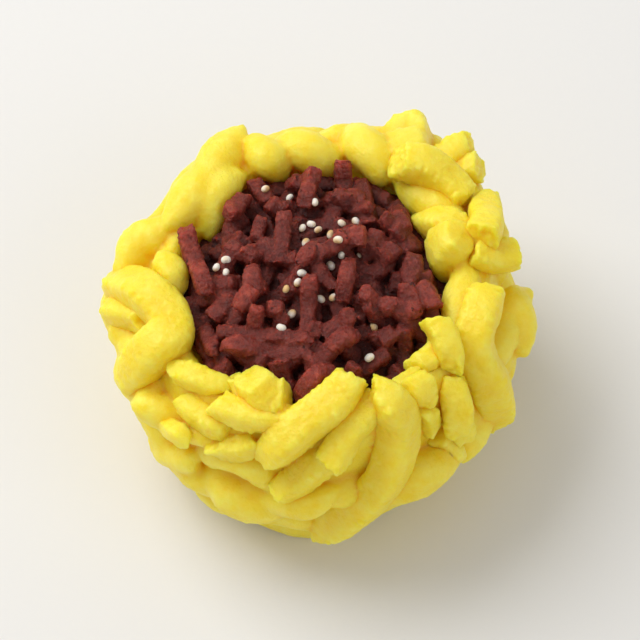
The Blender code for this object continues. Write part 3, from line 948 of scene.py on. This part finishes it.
@dataclass
class StrandBender:
    """Bends copies of the straight models along paths.

    Attributes:
        models: The straight strand for each kind of tip.
        model_length: Their length.
        model_width: Their width.
        ragged: How far tips are uneven, as a share of the width.
        slant: How far across its length a tip may be cut, as a share of the width.
        wave: How much a strand's width varies along it, as a share.
        tear: The noise that roughens torn tips.
        tear_depth: How far it does, as a share of the width.
        corners: How square it is across: 2 is round.
        flat: Its thickness as a share of its width.
        ridge: How far a torn ridge stands out along it, as a share of the width.
        ridge_turn: Half of what that ridge takes up round the strand, in radians.
        tooth: How far apart the teeth of that ridge are.
        paces: How fast its fine teeth, its coarse teeth and its gaps come, in radians for each tooth.
        flake_share: Torn strands narrower than this share of the models' width are flakes.
        flake_slant: How many times more slanted those are cut.
        tip_zone: How much of a model is its tip, as a share of its width.
        tip_kept: How long that becomes, as a share of the strand's width.
        fade: How far back from a tip a strand narrows, as a share of its width.
        round_taper: How wide round tips are, at least and at most, as shares of the width.
        torn_taper: How wide the others are.
        swells: How fast the width varies along a strand, in radians for each width: slowly and faster.
    """

    models: dict[Tip, Solid]
    model_length: float
    model_width: float
    ragged: float
    slant: float
    wave: float
    tear: bpy.types.Texture
    tear_depth: float = 0.16
    corners: float = 2.0
    flat: float = 1.0
    ridge: float = 0.0
    ridge_turn: float = 0.24
    tooth: float = 0.9 * MM
    paces: tuple[float, float, float] = (FULL_TURN, 3.9, 0.9)
    flake_share: float = 0.8
    flake_slant: float = 2.2
    tip_zone: float = 1.2
    tip_kept: float = 0.6
    fade: float = 0.8
    round_taper: tuple[float, float] = (0.45, 0.70)
    torn_taper: tuple[float, float] = (0.60, 1.0)
    swells: tuple[float, float] = (2.1, 4.7)

    def torn_ridge(self, along: np.ndarray, around: np.ndarray, draw: random.Random) -> np.ndarray:
        """Finds how far a strand stands out along three torn corners, which end in small teeth.

        Args:
            along: How far along the strand each place is.
            around: Where round it each place is, in radians.
            draw: Where the random values come from.

        Returns:
            How far each place stands out, as a share of the width.
        """
        out = np.zeros(len(along))
        for corner in draw.sample((1, 3, 5, 7), 3):
            apart = np.abs((around - corner * math.pi / 4 + math.pi) % (2 * math.pi) - math.pi)
            fine, coarse, slow = (np.sin(along / self.tooth * pace + draw.uniform(0, FULL_TURN))
                                  for pace in self.paces)
            teeth, reach = 0.4 + 0.35 * (fine + coarse), 0.6 + 0.4 * slow
            out += np.exp(-(apart / self.ridge_turn) ** 2) * teeth * reach * self.ridge
        return out

    def shape(self, places: np.ndarray, path: StrandPath, name: str, draw: random.Random) -> None:
        """Fits a straight strand to a path's length and width, and makes it uneven as torn paste is.

        Args:
            places: The strand's places, which are moved.
            path: Where it goes.
            name: The strand's name.
            draw: Where its random values come from.
        """
        length, width = path.length(), path.width
        share = width / self.model_width
        half = self.model_length / 2
        tip_kept = min(0.45 * length, self.tip_kept * self.model_width * share)
        hold = min(1.0, length / (2.2 * width))
        flake = path.tip is Tip.TORN and width < self.flake_share * self.model_width
        slant = self.flake_slant * self.slant if flake else self.slant
        corners = 2.0 if path.tip is Tip.ROUND else self.corners
        from_start = places[:, 0] < half
        along = np.where(from_start, places[:, 0], self.model_length - places[:, 0]) / half
        tip_share = self.tip_zone * self.model_width / half
        fitted = np.where(along < tip_share, along / tip_share * tip_kept,
                          tip_kept + (along - tip_share) / (1 - tip_share) * (length / 2 - tip_kept))
        around = np.arctan2(places[:, 2], places[:, 1])
        out = np.hypot(places[:, 1], places[:, 2]) / (self.model_width / 2)
        fade = np.clip(1 - fitted / (self.fade * width), 0, 1)
        narrow, wide = self.round_taper if path.tip is Tip.ROUND else self.torn_taper
        taper = draw.uniform(narrow, wide), draw.uniform(narrow, wide)
        swell = 1 - (1 - np.where(from_start, *taper)) * fade ** 2
        shift = np.zeros(len(places))
        for turns, strength in ((1, slant), (2, self.ragged), (3, self.ragged), (5, self.ragged)):
            for at_start in (True, False):
                wave = np.cos(turns * around + draw.uniform(0, FULL_TURN)) * draw.uniform(0.3, 1.0)
                shift += np.where(from_start == at_start, wave * out * strength / turns ** 0.5, 0)
        fitted = fitted + fade * shift * hold * width
        places[:, 0] = np.where(from_start, fitted, length - fitted)
        slow, fast = self.swells
        swell += self.wave * np.sin(places[:, 0] / width * slow + draw.uniform(0, FULL_TURN))
        twist = places[:, 0] / width * fast + 2 * around
        swell += 0.5 * self.wave * np.sin(twist + draw.uniform(0, FULL_TURN))
        swell /= (np.abs(np.cos(around)) ** corners + np.abs(np.sin(around)) ** corners) ** (1 / corners)
        if self.ridge and path.tip is not Tip.ROUND:
            swell += self.torn_ridge(places[:, 0], around, random.Random(name))
        places[:, 1:] *= (share * swell)[:, None]
        places[:, 2] *= self.flat

    def bend(self, path: StrandPath, name: str, draw: random.Random) -> Solid:
        """Copies a straight strand, shapes it and bends it along a path.

        Args:
            path: Where it goes.
            name: The copy's name.
            draw: Where its random values come from.

        Returns:
            The bent strand, in its place.
        """
        strand = copy_of(self.models[path.tip], name)
        places = places_of(strand.data)
        self.shape(places, path, name, draw)
        move_to(strand.data, places)
        line = path.smooth_line(0.4 * MM)
        curve = bpy.data.curves.new(name + "_line", "CURVE")
        curve.dimensions = "3D"
        spline = curve.splines.new("POLY")
        spline.points.add(len(line) - 1)
        spline.points.foreach_set("co", np.hstack([line, np.ones((len(line), 1))]).ravel())
        guide = bpy.data.objects.new(name + "_line", curve)
        bpy.context.scene.collection.objects.link(guide)
        follow = strand.modifiers.new("Follow", "CURVE")
        follow.object = guide
        follow.deform_axis = "POS_X"
        if path.tip is Tip.TORN:
            add_displace(strand, self.tear, self.tear_depth * path.width)
            strand.modifiers[-1].vertex_group = "tip"
        apply_modifiers(strand)
        bpy.data.objects.remove(guide)
        return strand

    def clear_away(self) -> None:
        """Removes the straight models."""
        for item in self.models.values():
            bpy.data.objects.remove(item)


@dataclass
class Pile:
    """Strands laid one on another, each resting on those before it.

    Attributes:
        nearest_share: How near two strands come, as a share of the sum of their half widths.
        step: How finely the lift is tried.
        laid: Middle points of the strands that lie there, with their half widths.
    """

    nearest_share: float = 0.6
    step: float = 0.2 * MM
    laid: list[tuple[Vector, float]] = field(default_factory=list)

    def rest_on(self, place_at: Callable[[float], Vector], reach: float, limit: float,
                near: float = 0.0) -> float:
        """Finds how far a place has to rise to lie on what is there.

        Args:
            place_at: Gives the place for a lift.
            reach: Half the strand's width.
            limit: The most that it rises.
            near: How near it comes, where that isn't the usual share.

        Returns:
            The lift.
        """
        lift = 0.0
        while lift < limit:
            place = place_at(lift)
            if all((place - other).length >= (near or self.nearest_share) * (reach + other_reach)
                   for other, other_reach in self.laid):
                break
            lift += self.step
        return lift

    def add(self, places: list[Vector], reach: float) -> None:
        """Adds a strand's places."""
        self.laid.extend((place, reach) for place in places)


def through_three(start: Place, middle: Place, end: Place, share: float) -> list[float]:
    """A place on the smooth curve through three, at a share of its length from 0 to 1."""
    weights = ((2 * share - 1) * (share - 1), 4 * share * (1 - share), share * (2 * share - 1))
    return [sum(w * p[axis] for w, p in zip(weights, (start, middle, end))) for axis in range(len(start))]


def tip_lift(share: float, start_lift: float, end_lift: float) -> float:
    """How far a strand stands off at a share of its length, in metres."""
    return (max(0.0, 1 - 2 * share) * start_lift + max(0.0, 2 * share - 1) * end_lift) * MM


@dataclass
class YellowBody:
    """The yellow paste: strands pressed into one another low down, and loose ones on top.

    Attributes:
        wall: What they lie on.
        width: The usual width of a strand.
        ring_spacing: How far apart the places along a strand are.
        first_lift: How far the lowest strands' middle lines lie off the wall.
        pile_limit: The most that a strand rises over others.
        press: How near a pressed strand comes to others, as a share of the sum of their half widths.
        melt_grid: The grid that the pressed strands are melted together on.
        melt_rounds: How many times they are smoothed.
        melt_share: The share of their faces that stays.
        grid: The grid that each loose strand is made even on.
        lump: How wide the paste's lumps are.
        lump_height: How far they stand out and in.
        grain: How wide its grains are.
        grain_height: How far they stand out and in.
        crease_rounds: How many times the surface is evened out to find each crease and ridge.
        crease_depth: How deep a crease lies where the painted orange shade is deepest.
        level: The value of a place that is neither in a crease nor on a ridge.
        ring_seed: What the low strands are drawn from.
        strand_seed: What the unevenness of all strands is drawn from.
    """

    wall: Wall
    width: float = 4.2 * MM
    ring_spacing: float = 3.3 * MM
    first_lift: float = -0.4 * MM
    pile_limit: float = 3.0 * MM
    press: float = 0.42
    melt_grid: float = 0.32 * MM
    melt_rounds: int = 8
    melt_share: float = 0.5
    grid: float = 0.18 * MM
    lump: float = 2.2 * MM
    lump_height: float = 0.20 * MM
    grain: float = 0.6 * MM
    grain_height: float = 0.22 * MM
    crease_rounds: int = 40
    crease_depth: float = 0.9 * MM
    level: float = 0.3
    ring_seed: int = 8
    strand_seed: int = 21

    def ring_strands(self, draw: random.Random) -> list[tuple]:
        """Draws the strands that lie low and behind.

        Args:
            draw: Where the random values come from.

        Returns:
            Rows like those of LAID_STRANDS.
        """
        strands = []
        for rise, first, last, count in STRAND_RINGS:
            step = (last - first) / count
            for index in range(count):
                middle = first + (index + 0.5) * step + draw.uniform(-3, 3)
                half = 0.55 * step * draw.uniform(0.85, 1.0)
                slant = draw.choice((-1, 1)) * draw.uniform(0.04, 0.14)
                strands.append(((middle - half, rise - slant), (middle, rise + draw.uniform(-0.03, 0.03)),
                                (middle + half, rise + slant), draw.uniform(0.9, 1.05), 0.0, 0.0))
        return strands

    def lay(self, strand: tuple, pile: Pile, near: float = 0.0) -> list[Vector]:
        """Lays a strand on the wall and on what is there.

        Args:
            strand: A row of LAID_STRANDS.
            pile: What is there; the strand is added to it.
            near: How near it comes to others, where that isn't the usual share.

        Returns:
            Places along its middle line.
        """
        start, middle, end, share, start_lift, end_lift = strand
        reach = share * self.width / 2
        samples = 8
        rough = [self.wall.point(*through_three(start, middle, end, step / samples))
                 for step in range(samples + 1)]
        length = sum((b - a).length for a, b in zip(rough, rough[1:]))
        count = max(4, round(length / self.ring_spacing) + 1)
        stations = [through_three(start, middle, end, step / (count - 1)) for step in range(count)]
        lifts = [pile.rest_on(lambda lift: self.wall.point(*station, self.first_lift + lift), reach,
                              self.pile_limit, near) for station in stations]
        padded = [lifts[0], *lifts, lifts[-1]]
        lifts = [0.25 * a + 0.5 * b + 0.25 * c for a, b, c in zip(padded, padded[1:], padded[2:])]
        places = []
        for step, (station, lift) in enumerate(zip(stations, lifts)):
            tip = tip_lift(step / (count - 1), start_lift, end_lift)
            places.append(self.wall.point(*station, self.first_lift + lift + tip))
        pile.add(places, reach)
        return places

    def paths(self) -> tuple[list[StrandPath], list[StrandPath]]:
        """Lays every strand.

        Returns:
            The paths of the pressed strands and of the loose ones.
        """
        pile = Pile()
        pressed = [StrandPath(self.lay(strand, pile), strand[3] * self.width, Tip.ROUND)
                   for strand in self.ring_strands(random.Random(self.ring_seed))]
        loose = []
        for index, strand in enumerate(LAID_STRANDS):
            low = index < PRESSED
            places = self.lay(strand, pile, self.press if low else 0.0)
            tip = Tip.ROUND if low else Tip.CUT if index == CHUNK else Tip.TORN
            path = StrandPath(places, strand[3] * self.width, tip)
            (pressed if low else loose).append(path)
        return pressed, loose

    def melted(self, pieces: list[Solid]) -> Solid:
        """Melts pieces into one soft body.

        Args:
            pieces: The pieces, which are used up.

        Returns:
            The body.
        """
        base = joined(pieces, "yellow_pressed_strands")
        add_remesh(base, self.melt_grid)
        smooth = base.modifiers.new("Smooth", "SMOOTH")
        smooth.factor = 0.5
        smooth.iterations = self.melt_rounds
        add_thinning(base, self.melt_share)
        apply_modifiers(base)
        return base

    def make(self) -> list[Solid]:
        """Models the yellow paste.

        Returns:
            Its pieces.
        """
        draw = random.Random(self.strand_seed)
        pressed_paths, loose_paths = self.paths()
        model = StrandModel(width=self.width, length=20 * MM, sides=52, ring_gap=0.22 * MM)
        bender = StrandBender({tip: model.model(tip) for tip in Tip}, model.length, self.width,
                              ragged=0.07, slant=0.22, wave=0.03, tear=clouds("yellow_tear", 0.6 * MM, 2),
                              corners=3.2, ridge=0.16, tooth=0.75 * MM)
        core = self.wall.core("yellow_core")
        pressed = [bender.bend(path, f"pressed_{index}", draw) for index, path in enumerate(pressed_paths)]
        torn = [bender.bend(path, f"loose_{index}", draw) for index, path in enumerate(loose_paths)]
        bender.clear_away()
        soft = [torn[index - PRESSED] for index in SOFT]
        loose = [strand for strand in torn if strand not in soft]
        base = self.melted([core, *pressed, *soft])
        for strand in loose:
            add_remesh(strand, self.grid)
            apply_modifiers(strand)
        body = united([base, *loose], "yellow_strands_of_paste")
        add_displace(body, clouds("yellow_lumps", self.lump), self.lump_height)
        add_displace(body, clouds("yellow_grains", self.grain), self.grain_height)
        thin_to_limit(body)
        places = places_of(body.data)
        places[:, 2] = np.maximum(places[:, 2], 0)
        move_to(body.data, places)
        self.mark_creases(body)
        return [body]

    def mark_creases(self, body: Solid) -> None:
        """Writes down where each crease and ridge is, by how far each place moves as the surface evens out;
        the finish paints shade into a crease and a milky sheen onto a ridge.

        Args:
            body: The yellow paste.
        """
        places = places_of(body.data)
        ends = np.zeros(2 * len(body.data.edges), np.int32)
        body.data.edges.foreach_get("vertices", ends)
        here, there = np.hstack([ends[::2], ends[1::2]]), np.hstack([ends[1::2], ends[::2]])
        shares = 1 / np.bincount(here, minlength=len(places))
        even = places.astype(float)
        for _ in range(self.crease_rounds):
            drawn = [np.bincount(here, even[there, axis], len(places)) * shares for axis in range(3)]
            even = 0.5 * even + 0.5 * np.array(drawn).T
        normals = np.zeros(places.size, np.float32)
        body.data.vertices.foreach_get("normal", normals)
        sunk = ((even - places) * normals.reshape(-1, 3)).sum(axis=1)
        # The finish paints shade where this value is high and sheen where it is low.
        write_down(body, "crease", self.level + sunk / self.crease_depth)


@dataclass
class RedHeap:
    """The heap of red paste in the hollow: short grainy strands and crumbs.

    Attributes:
        height: Height of the rounded heap over its middle.
        curve: How fast it falls off, in 1/m.
        width: The usual width of a strand.
        first_depth: How far under the heap's top the middle lines of the strands that show lie at first.
        pile_limit: The most that a strand rises over others.
        fill: How many strands lie under those that show.
        fill_sink: How much lower those lie.
        fill_reach: How far out those lie.
        edge_fill: How many strands lie low along the wall.
        edge_sink: How much lower those lie than the ones that show.
        place_gap: How far apart the places along a strand are, roughly.
        nestle_step: How far a strand that touches the wall moves inward at a time.
        nestle_steps: How many times it does at most.
        nestle_share: How far off the wall its middle line has to be, as a share of its half width.
        plug_reach: The radius of the paste under the strands.
        plug_floor: The height of its underside.
        plug_depth: How far its upper side lies under the heap's top.
        plug_sides: How many sides it has.
        plug_rings: How many rings its upper side has.
        grid: The grid that all of it is melted together on.
        lump: How wide the paste's lumps are.
        lump_height: How far they stand out and in.
        grain: How wide its grains are.
        grain_height: How far they stand out and in.
        gap_depth: How far under the heap's top the painted shade is darkest.
        crest: How far over the heap's top the painted light is brightest.
        seed: What the strands are drawn from.
        edge_seed: What those along the wall are drawn from.
    """

    height: float = 27.4 * MM
    curve: float = 16.0
    width: float = 1.95 * MM
    first_depth: float = 1.6 * MM
    pile_limit: float = 2.0 * MM
    fill: int = 112
    fill_sink: float = 1.5 * MM
    fill_reach: float = 14.8 * MM
    edge_fill: int = 36
    edge_sink: float = 0.6 * MM
    place_gap: float = 2.2 * MM
    nestle_step: float = 0.25 * MM
    nestle_steps: int = 20
    nestle_share: float = 0.75
    plug_reach: float = 14.9 * MM
    plug_floor: float = 20.2 * MM
    plug_depth: float = 3.3 * MM
    plug_sides: int = 64
    plug_rings: int = 12
    grid: float = 0.17 * MM
    lump: float = 1.2 * MM
    lump_height: float = 0.22 * MM
    grain: float = 0.28 * MM
    grain_height: float = 0.30 * MM
    gap_depth: float = 3.2 * MM
    crest: float = 1.4 * MM
    seed: int = 8
    edge_seed: int = 9

    def top(self, x: float, y: float) -> float:
        """Height of the heap's rounded top over a place."""
        return self.height - self.curve * (x * x + y * y)

    def fill_strands(self, draw: random.Random) -> list[tuple]:
        """Draws strands spread evenly under those that show.

        Args:
            draw: Where the random values come from.

        Returns:
            Rows like those of RED_STRANDS.
        """
        strands = []
        for index in range(self.fill):
            radius = self.fill_reach * math.sqrt((index + 0.5) / self.fill) / MM
            turn = index * math.pi * (3 - math.sqrt(5))
            x, y = radius * math.cos(turn), radius * math.sin(turn)
            along = draw.uniform(0, math.pi)
            half = draw.uniform(0.8, 2.6)
            across, up = half * math.cos(along), half * math.sin(along)
            strands.append(((x - across, y - up), (x + across, y + up),
                            draw.uniform(-0.8, 0.8), draw.uniform(-0.8, 2.0)))
        return strands

    def edge_strands(self, draw: random.Random) -> list[tuple]:
        """Draws short strands that lie low along the wall.

        Args:
            draw: Where the random values come from.

        Returns:
            Rows like those of RED_STRANDS.
        """
        strands = []
        for index in range(self.edge_fill):
            turn = 2 * math.pi * index / self.edge_fill
            x, y = self.fill_reach * math.cos(turn) / MM, self.fill_reach * math.sin(turn) / MM
            half = draw.uniform(0.9, 1.5)
            across, up = -half * math.sin(turn), half * math.cos(turn)
            strands.append(((x - across, y - up), (x + across, y + up),
                            draw.uniform(-0.4, 0.6), draw.uniform(-0.4, 0.6)))
        return strands

    def lay(self, strand: tuple, pile: Pile, walls: list[BVHTree], depth: float) -> list[Vector]:
        """Lays a strand on the heap and on what is there, nestled against the yellow paste.

        Args:
            strand: A row of RED_STRANDS.
            pile: What is there; the strand is added to it.
            walls: The yellow pieces.
            depth: How far under the heap's top its middle line starts.

        Returns:
            Places along its middle line.
        """
        start, end, start_lift, end_lift = strand
        reach = self.width / 2
        count = max(3, round(math.dist(start, end) * MM / self.place_gap) + 1)
        places = []
        for step in range(count):
            share = step / (count - 1)
            x, y = [(a + (b - a) * share) * MM for a, b in zip(start, end)]
            height = self.top(x, y) - depth
            lift = pile.rest_on(lambda lift: Vector((x, y, height + lift)), reach, self.pile_limit)
            places.append(Vector((x, y, height + lift + tip_lift(share, start_lift, end_lift))))
        middle = places[len(places) // 2]
        inward = Vector((-middle.x, -middle.y, 0)).normalized() * self.nestle_step
        for _ in range(self.nestle_steps):
            if all(self.is_clear(place, wall, self.nestle_share * reach)
                   for place in places for wall in walls):
                break
            places = [place + inward for place in places]
        pile.add(places, reach)
        return places

    @staticmethod
    def is_clear(place: Vector, wall: BVHTree, distance: float) -> bool:
        """Whether a place is outside a piece and at least a distance from it."""
        nearest, normal, _, apart = wall.find_nearest(place)
        return apart >= distance and (place - nearest).dot(normal) > 0

    def paths(self, walls: list[BVHTree], draw: random.Random) -> list[StrandPath]:
        """Lays every strand: the ones underneath, the ones that show and the ones along the wall.

        Args:
            walls: The yellow pieces, which they lean on.
            draw: Where the random values come from.

        Returns:
            Their paths.
        """
        pile, low = Pile(), Pile()
        rows = [(row, self.first_depth + self.fill_sink) for row in self.fill_strands(draw)]
        rows += [((start, end, start_lift + draw.uniform(-0.4, 0.6), end_lift + draw.uniform(-0.4, 0.6)),
                  self.first_depth) for start, end, start_lift, end_lift in RED_STRANDS]
        paths = [StrandPath(self.lay(row, pile, walls, depth), self.width * draw.uniform(0.85, 1.12), Tip.CUT)
                 for row, depth in rows]
        low_depth = self.first_depth + self.edge_sink
        return paths + [StrandPath(self.lay(row, low, walls, low_depth), self.width, Tip.CUT)
                        for row in self.edge_strands(random.Random(self.edge_seed))]

    def plug(self) -> Solid:
        """Models the paste under the strands: a disc drawn up and in to the heap's rounded top.

        Returns:
            The plug, a closed shell.
        """
        radii = [self.plug_reach * (1 - ring / self.plug_rings) for ring in range(self.plug_rings)]
        upper = [(radius, self.top(radius, 0) - self.plug_depth) for radius in radii]
        return drawn_up("red_plug", self.plug_sides, [(self.plug_reach, self.plug_floor), *upper])

    def make(self, yellow: list[Solid]) -> tuple[list[Solid], list[BVHTree]]:
        """Models the red paste.

        Args:
            yellow: The yellow pieces, which it leans on.

        Returns:
            Its pieces, and trees to lay seeds on.
        """
        graph = bpy.context.evaluated_depsgraph_get()
        draw = random.Random(self.seed)
        paths = self.paths([BVHTree.FromObject(item, graph) for item in yellow], draw)
        model = StrandModel(width=self.width, length=8 * MM, sides=28, ring_gap=0.25 * MM)
        bender = StrandBender({Tip.CUT: model.model(Tip.CUT)}, model.length, self.width,
                              ragged=0.08, slant=0.18, wave=0.05, tear=clouds("red_tear", 0.4 * MM, 2),
                              corners=2.8, flat=0.88, ridge=0.22, tooth=0.6 * MM)
        plug = self.plug()
        strands = [bender.bend(path, f"red_{index}", draw) for index, path in enumerate(paths)]
        bender.clear_away()
        heap = united([plug, *strands], "red_bean_strands")
        add_remesh(heap, self.grid)
        add_displace(heap, clouds("red_lumps", self.lump), self.lump_height)
        add_displace(heap, clouds("red_grains", self.grain), self.grain_height)
        thin_to_limit(heap)
        self.mark_shade_depth(heap)
        return [heap], [BVHTree.FromObject(heap, bpy.context.evaluated_depsgraph_get())]

    def mark_shade_depth(self, heap: Solid) -> None:
        """Writes down how deep each place of the heap lies, from 0 at its crest to 1 in its gaps, for the
        painted light and shade.

        Args:
            heap: The heap.
        """
        places = places_of(heap.data)
        tops = self.height - self.curve * (places[:, 0] ** 2 + places[:, 1] ** 2)
        # Painted light on the crest and painted shade in the gaps follow this value.
        write_down(heap, "depth", (tops + self.crest - places[:, 2]) / (self.gap_depth + self.crest))


@dataclass
class PoppySeeds:
    """White poppy seeds strewn over the heap.

    Attributes:
        radii: Half a seed's length, width and height.
        sink: How far a seed sinks into the paste, as a share of its half height.
        reference: Height in mm of the surface that the listed places are on, over its middle.
        fall_off: How fast that surface falls off, in 1/mm.
        fall: The way that the seeds fell on the heap.
        start: How far off they started, in mm.
        dent: How deep the dent in a seed's side is, as a share of its half width.
        dent_width: Half the dent's width, as a share of the seed's half length.
        seed: What the seeds' turns and sizes are drawn from.
    """

    radii: tuple[float, float, float] = (0.52 * MM, 0.41 * MM, 0.38 * MM)
    sink: float = 0.3
    reference: float = 26.8
    fall_off: float = 0.016
    fall: Vector = field(default_factory=lambda: Vector((0, 0.5, -0.866)))
    start: float = 20
    dent: float = 0.22
    dent_width: float = 0.35
    seed: int = 31

    def model(self) -> Solid:
        """Models one seed: a ball with a dent in one side, which makes it kidney-shaped.

        Returns:
            The seed.
        """
        bpy.ops.mesh.primitive_uv_sphere_add(segments=20, ring_count=12, radius=1.0, location=(0, 0, 0))
        seed = bpy.context.object
        seed.name = "seed"
        places = places_of(seed.data)
        dent = np.exp(-((places[:, 0] / self.dent_width) ** 2)) * np.clip(-places[:, 1], 0, 1) ** 2
        places[:, 1] += self.dent * dent
        places *= np.array(self.radii, np.float32)
        move_to(seed.data, places)
        seed.data.shade_smooth()
        return seed

    def make(self, beds: list[BVHTree]) -> list[Solid]:
        """Lays the seeds on the heap.

        Args:
            beds: What they lie on.

        Returns:
            The seeds, as one piece.
        """
        draw = random.Random(self.seed)
        model = self.model()
        seeds = []
        for index, (x, y) in enumerate(SEEDS):
            aim = Vector((x, y, self.reference - self.fall_off * (x * x + y * y))) * MM
            hits = [bed.ray_cast(aim - self.fall * self.start * MM, self.fall) for bed in beds]
            top, normal = min(((hit[0], hit[1]) for hit in hits if hit[0] is not None),
                              key=lambda pair: (pair[0] - aim).dot(self.fall))
            seed = copy_of(model, f"seed_{index}")
            up = Vector((0, 0, 1))
            tilt = up.rotation_difference((normal + up).normalized())
            turn = Euler((draw.uniform(-0.4, 0.4), 0, draw.uniform(0, FULL_TURN)))
            seed.rotation_euler = (tilt @ turn.to_quaternion()).to_euler()
            seed.location = top + (normal - self.fall).normalized() * (1 - self.sink) * self.radii[2]
            grow = draw.uniform(0.88, 1.1)
            seed.scale = (grow, grow, grow)
            seeds.append(seed)
        bpy.data.objects.remove(model)
        whole = joined(seeds, "poppy_seeds")
        bpy.ops.object.transform_apply(location=True, rotation=True, scale=True)
        return [whole]


@dataclass
class Studio:
    """Floor, lights and camera.

    Attributes:
        distance: From the camera to what it looks at.
        elevation: How far down it looks, in degrees.
        lens: Its focal length in mm.
        aim_height: Height of what it looks at.
    """

    distance: float = 0.4
    elevation: float = 60
    lens: float = 207.7
    aim_height: float = 15 * MM

    def floor(self) -> None:
        """Makes the plain floor."""
        bpy.ops.mesh.primitive_plane_add(size=3.0, location=(0, 0, 0))
        floor = bpy.context.object
        floor.name = "floor"
        floor.data.materials.append(PaleCard().make())

    def aimed(self, name: str, data: bpy.types.ID, place: Vector) -> bpy.types.Object:
        """Hangs up a light or the camera so that it faces the sweet.

        Args:
            name: Its name.
            data: The light or camera itself.
            place: Where it hangs.

        Returns:
            Its object, linked to the scene.
        """
        item = bpy.data.objects.new(name, data)
        item.location = place
        item.rotation_euler = (Vector((0, 0, self.aim_height)) - place).to_track_quat("-Z", "Y").to_euler()
        bpy.context.scene.collection.objects.link(item)
        return item

    def light(self, name: str, place: tuple[float, float, float], size: float, power: float) -> None:
        """Makes a soft light that shines at the sweet.

        Args:
            name: Its name.
            place: Where it hangs.
            size: Its side.
            power: Its power in watts.
        """
        data = bpy.data.lights.new(name, "AREA")
        data.shape = "SQUARE"
        data.size = size
        data.energy = power
        self.aimed(name, data, Vector(place))

    def camera(self) -> None:
        """Makes the camera and sets it as the scene's."""
        turn = math.radians(self.elevation)
        off = Vector((0, -math.cos(turn), math.sin(turn))) * self.distance
        data = bpy.data.cameras.new("camera")
        data.lens = self.lens
        data.sensor_width = 36
        data.clip_start = 0.01
        bpy.context.scene.camera = self.aimed("camera", data, Vector((0, 0, self.aim_height)) + off)

    def make(self) -> None:
        """Makes the floor, the lights, the sky and the camera."""
        self.floor()
        self.light("key", (-0.34, 0.22, 0.50), 0.45, 3.2)
        self.light("fill", (0.45, -0.35, 0.40), 0.5, 0.6)
        world = bpy.data.worlds.new("studio")
        world.use_nodes = True
        sky = world.node_tree.nodes["Background"]
        sky.inputs["Color"].default_value = (0.96, 0.95, 0.94, 1.0)
        sky.inputs["Strength"].default_value = 0.55
        bpy.context.scene.world = world
        bpy.context.scene.view_settings.view_transform = "Standard"
        self.camera()


def dress(pieces: list[Solid], finish: Finish, node: str) -> None:
    """Gives pieces their finish and ties them to the CAD.

    Args:
        pieces: The pieces.
        finish: What they are made of.
        node: The CAD node that they stand for.
    """
    material = finish.make()
    for piece in pieces:
        piece.data.materials.clear()
        piece.data.materials.append(material)
        only(piece)
        bpy.ops.object.shade_smooth_by_angle(angle=math.radians(60))
        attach(piece, "root")
        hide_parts(node)
        LOG.info("%s: %d triangles, %s", piece.name, triangles_of(piece), finish.name)


def main() -> None:
    """Builds the looks of the sweet and its studio."""
    logging.basicConfig(level=logging.INFO, format="%(message)s")
    yellow = YellowBody(Wall()).make()
    dress(yellow, YellowPaste(), "yellow_strands")
    red, beds = RedHeap().make(yellow)
    dress(red, RedPaste(), "red_bean_heap")
    dress(PoppySeeds().make(beds), PoppySeed(), "red_bean_heap")
    Studio().make()


if __name__ == "__main__":
    main()
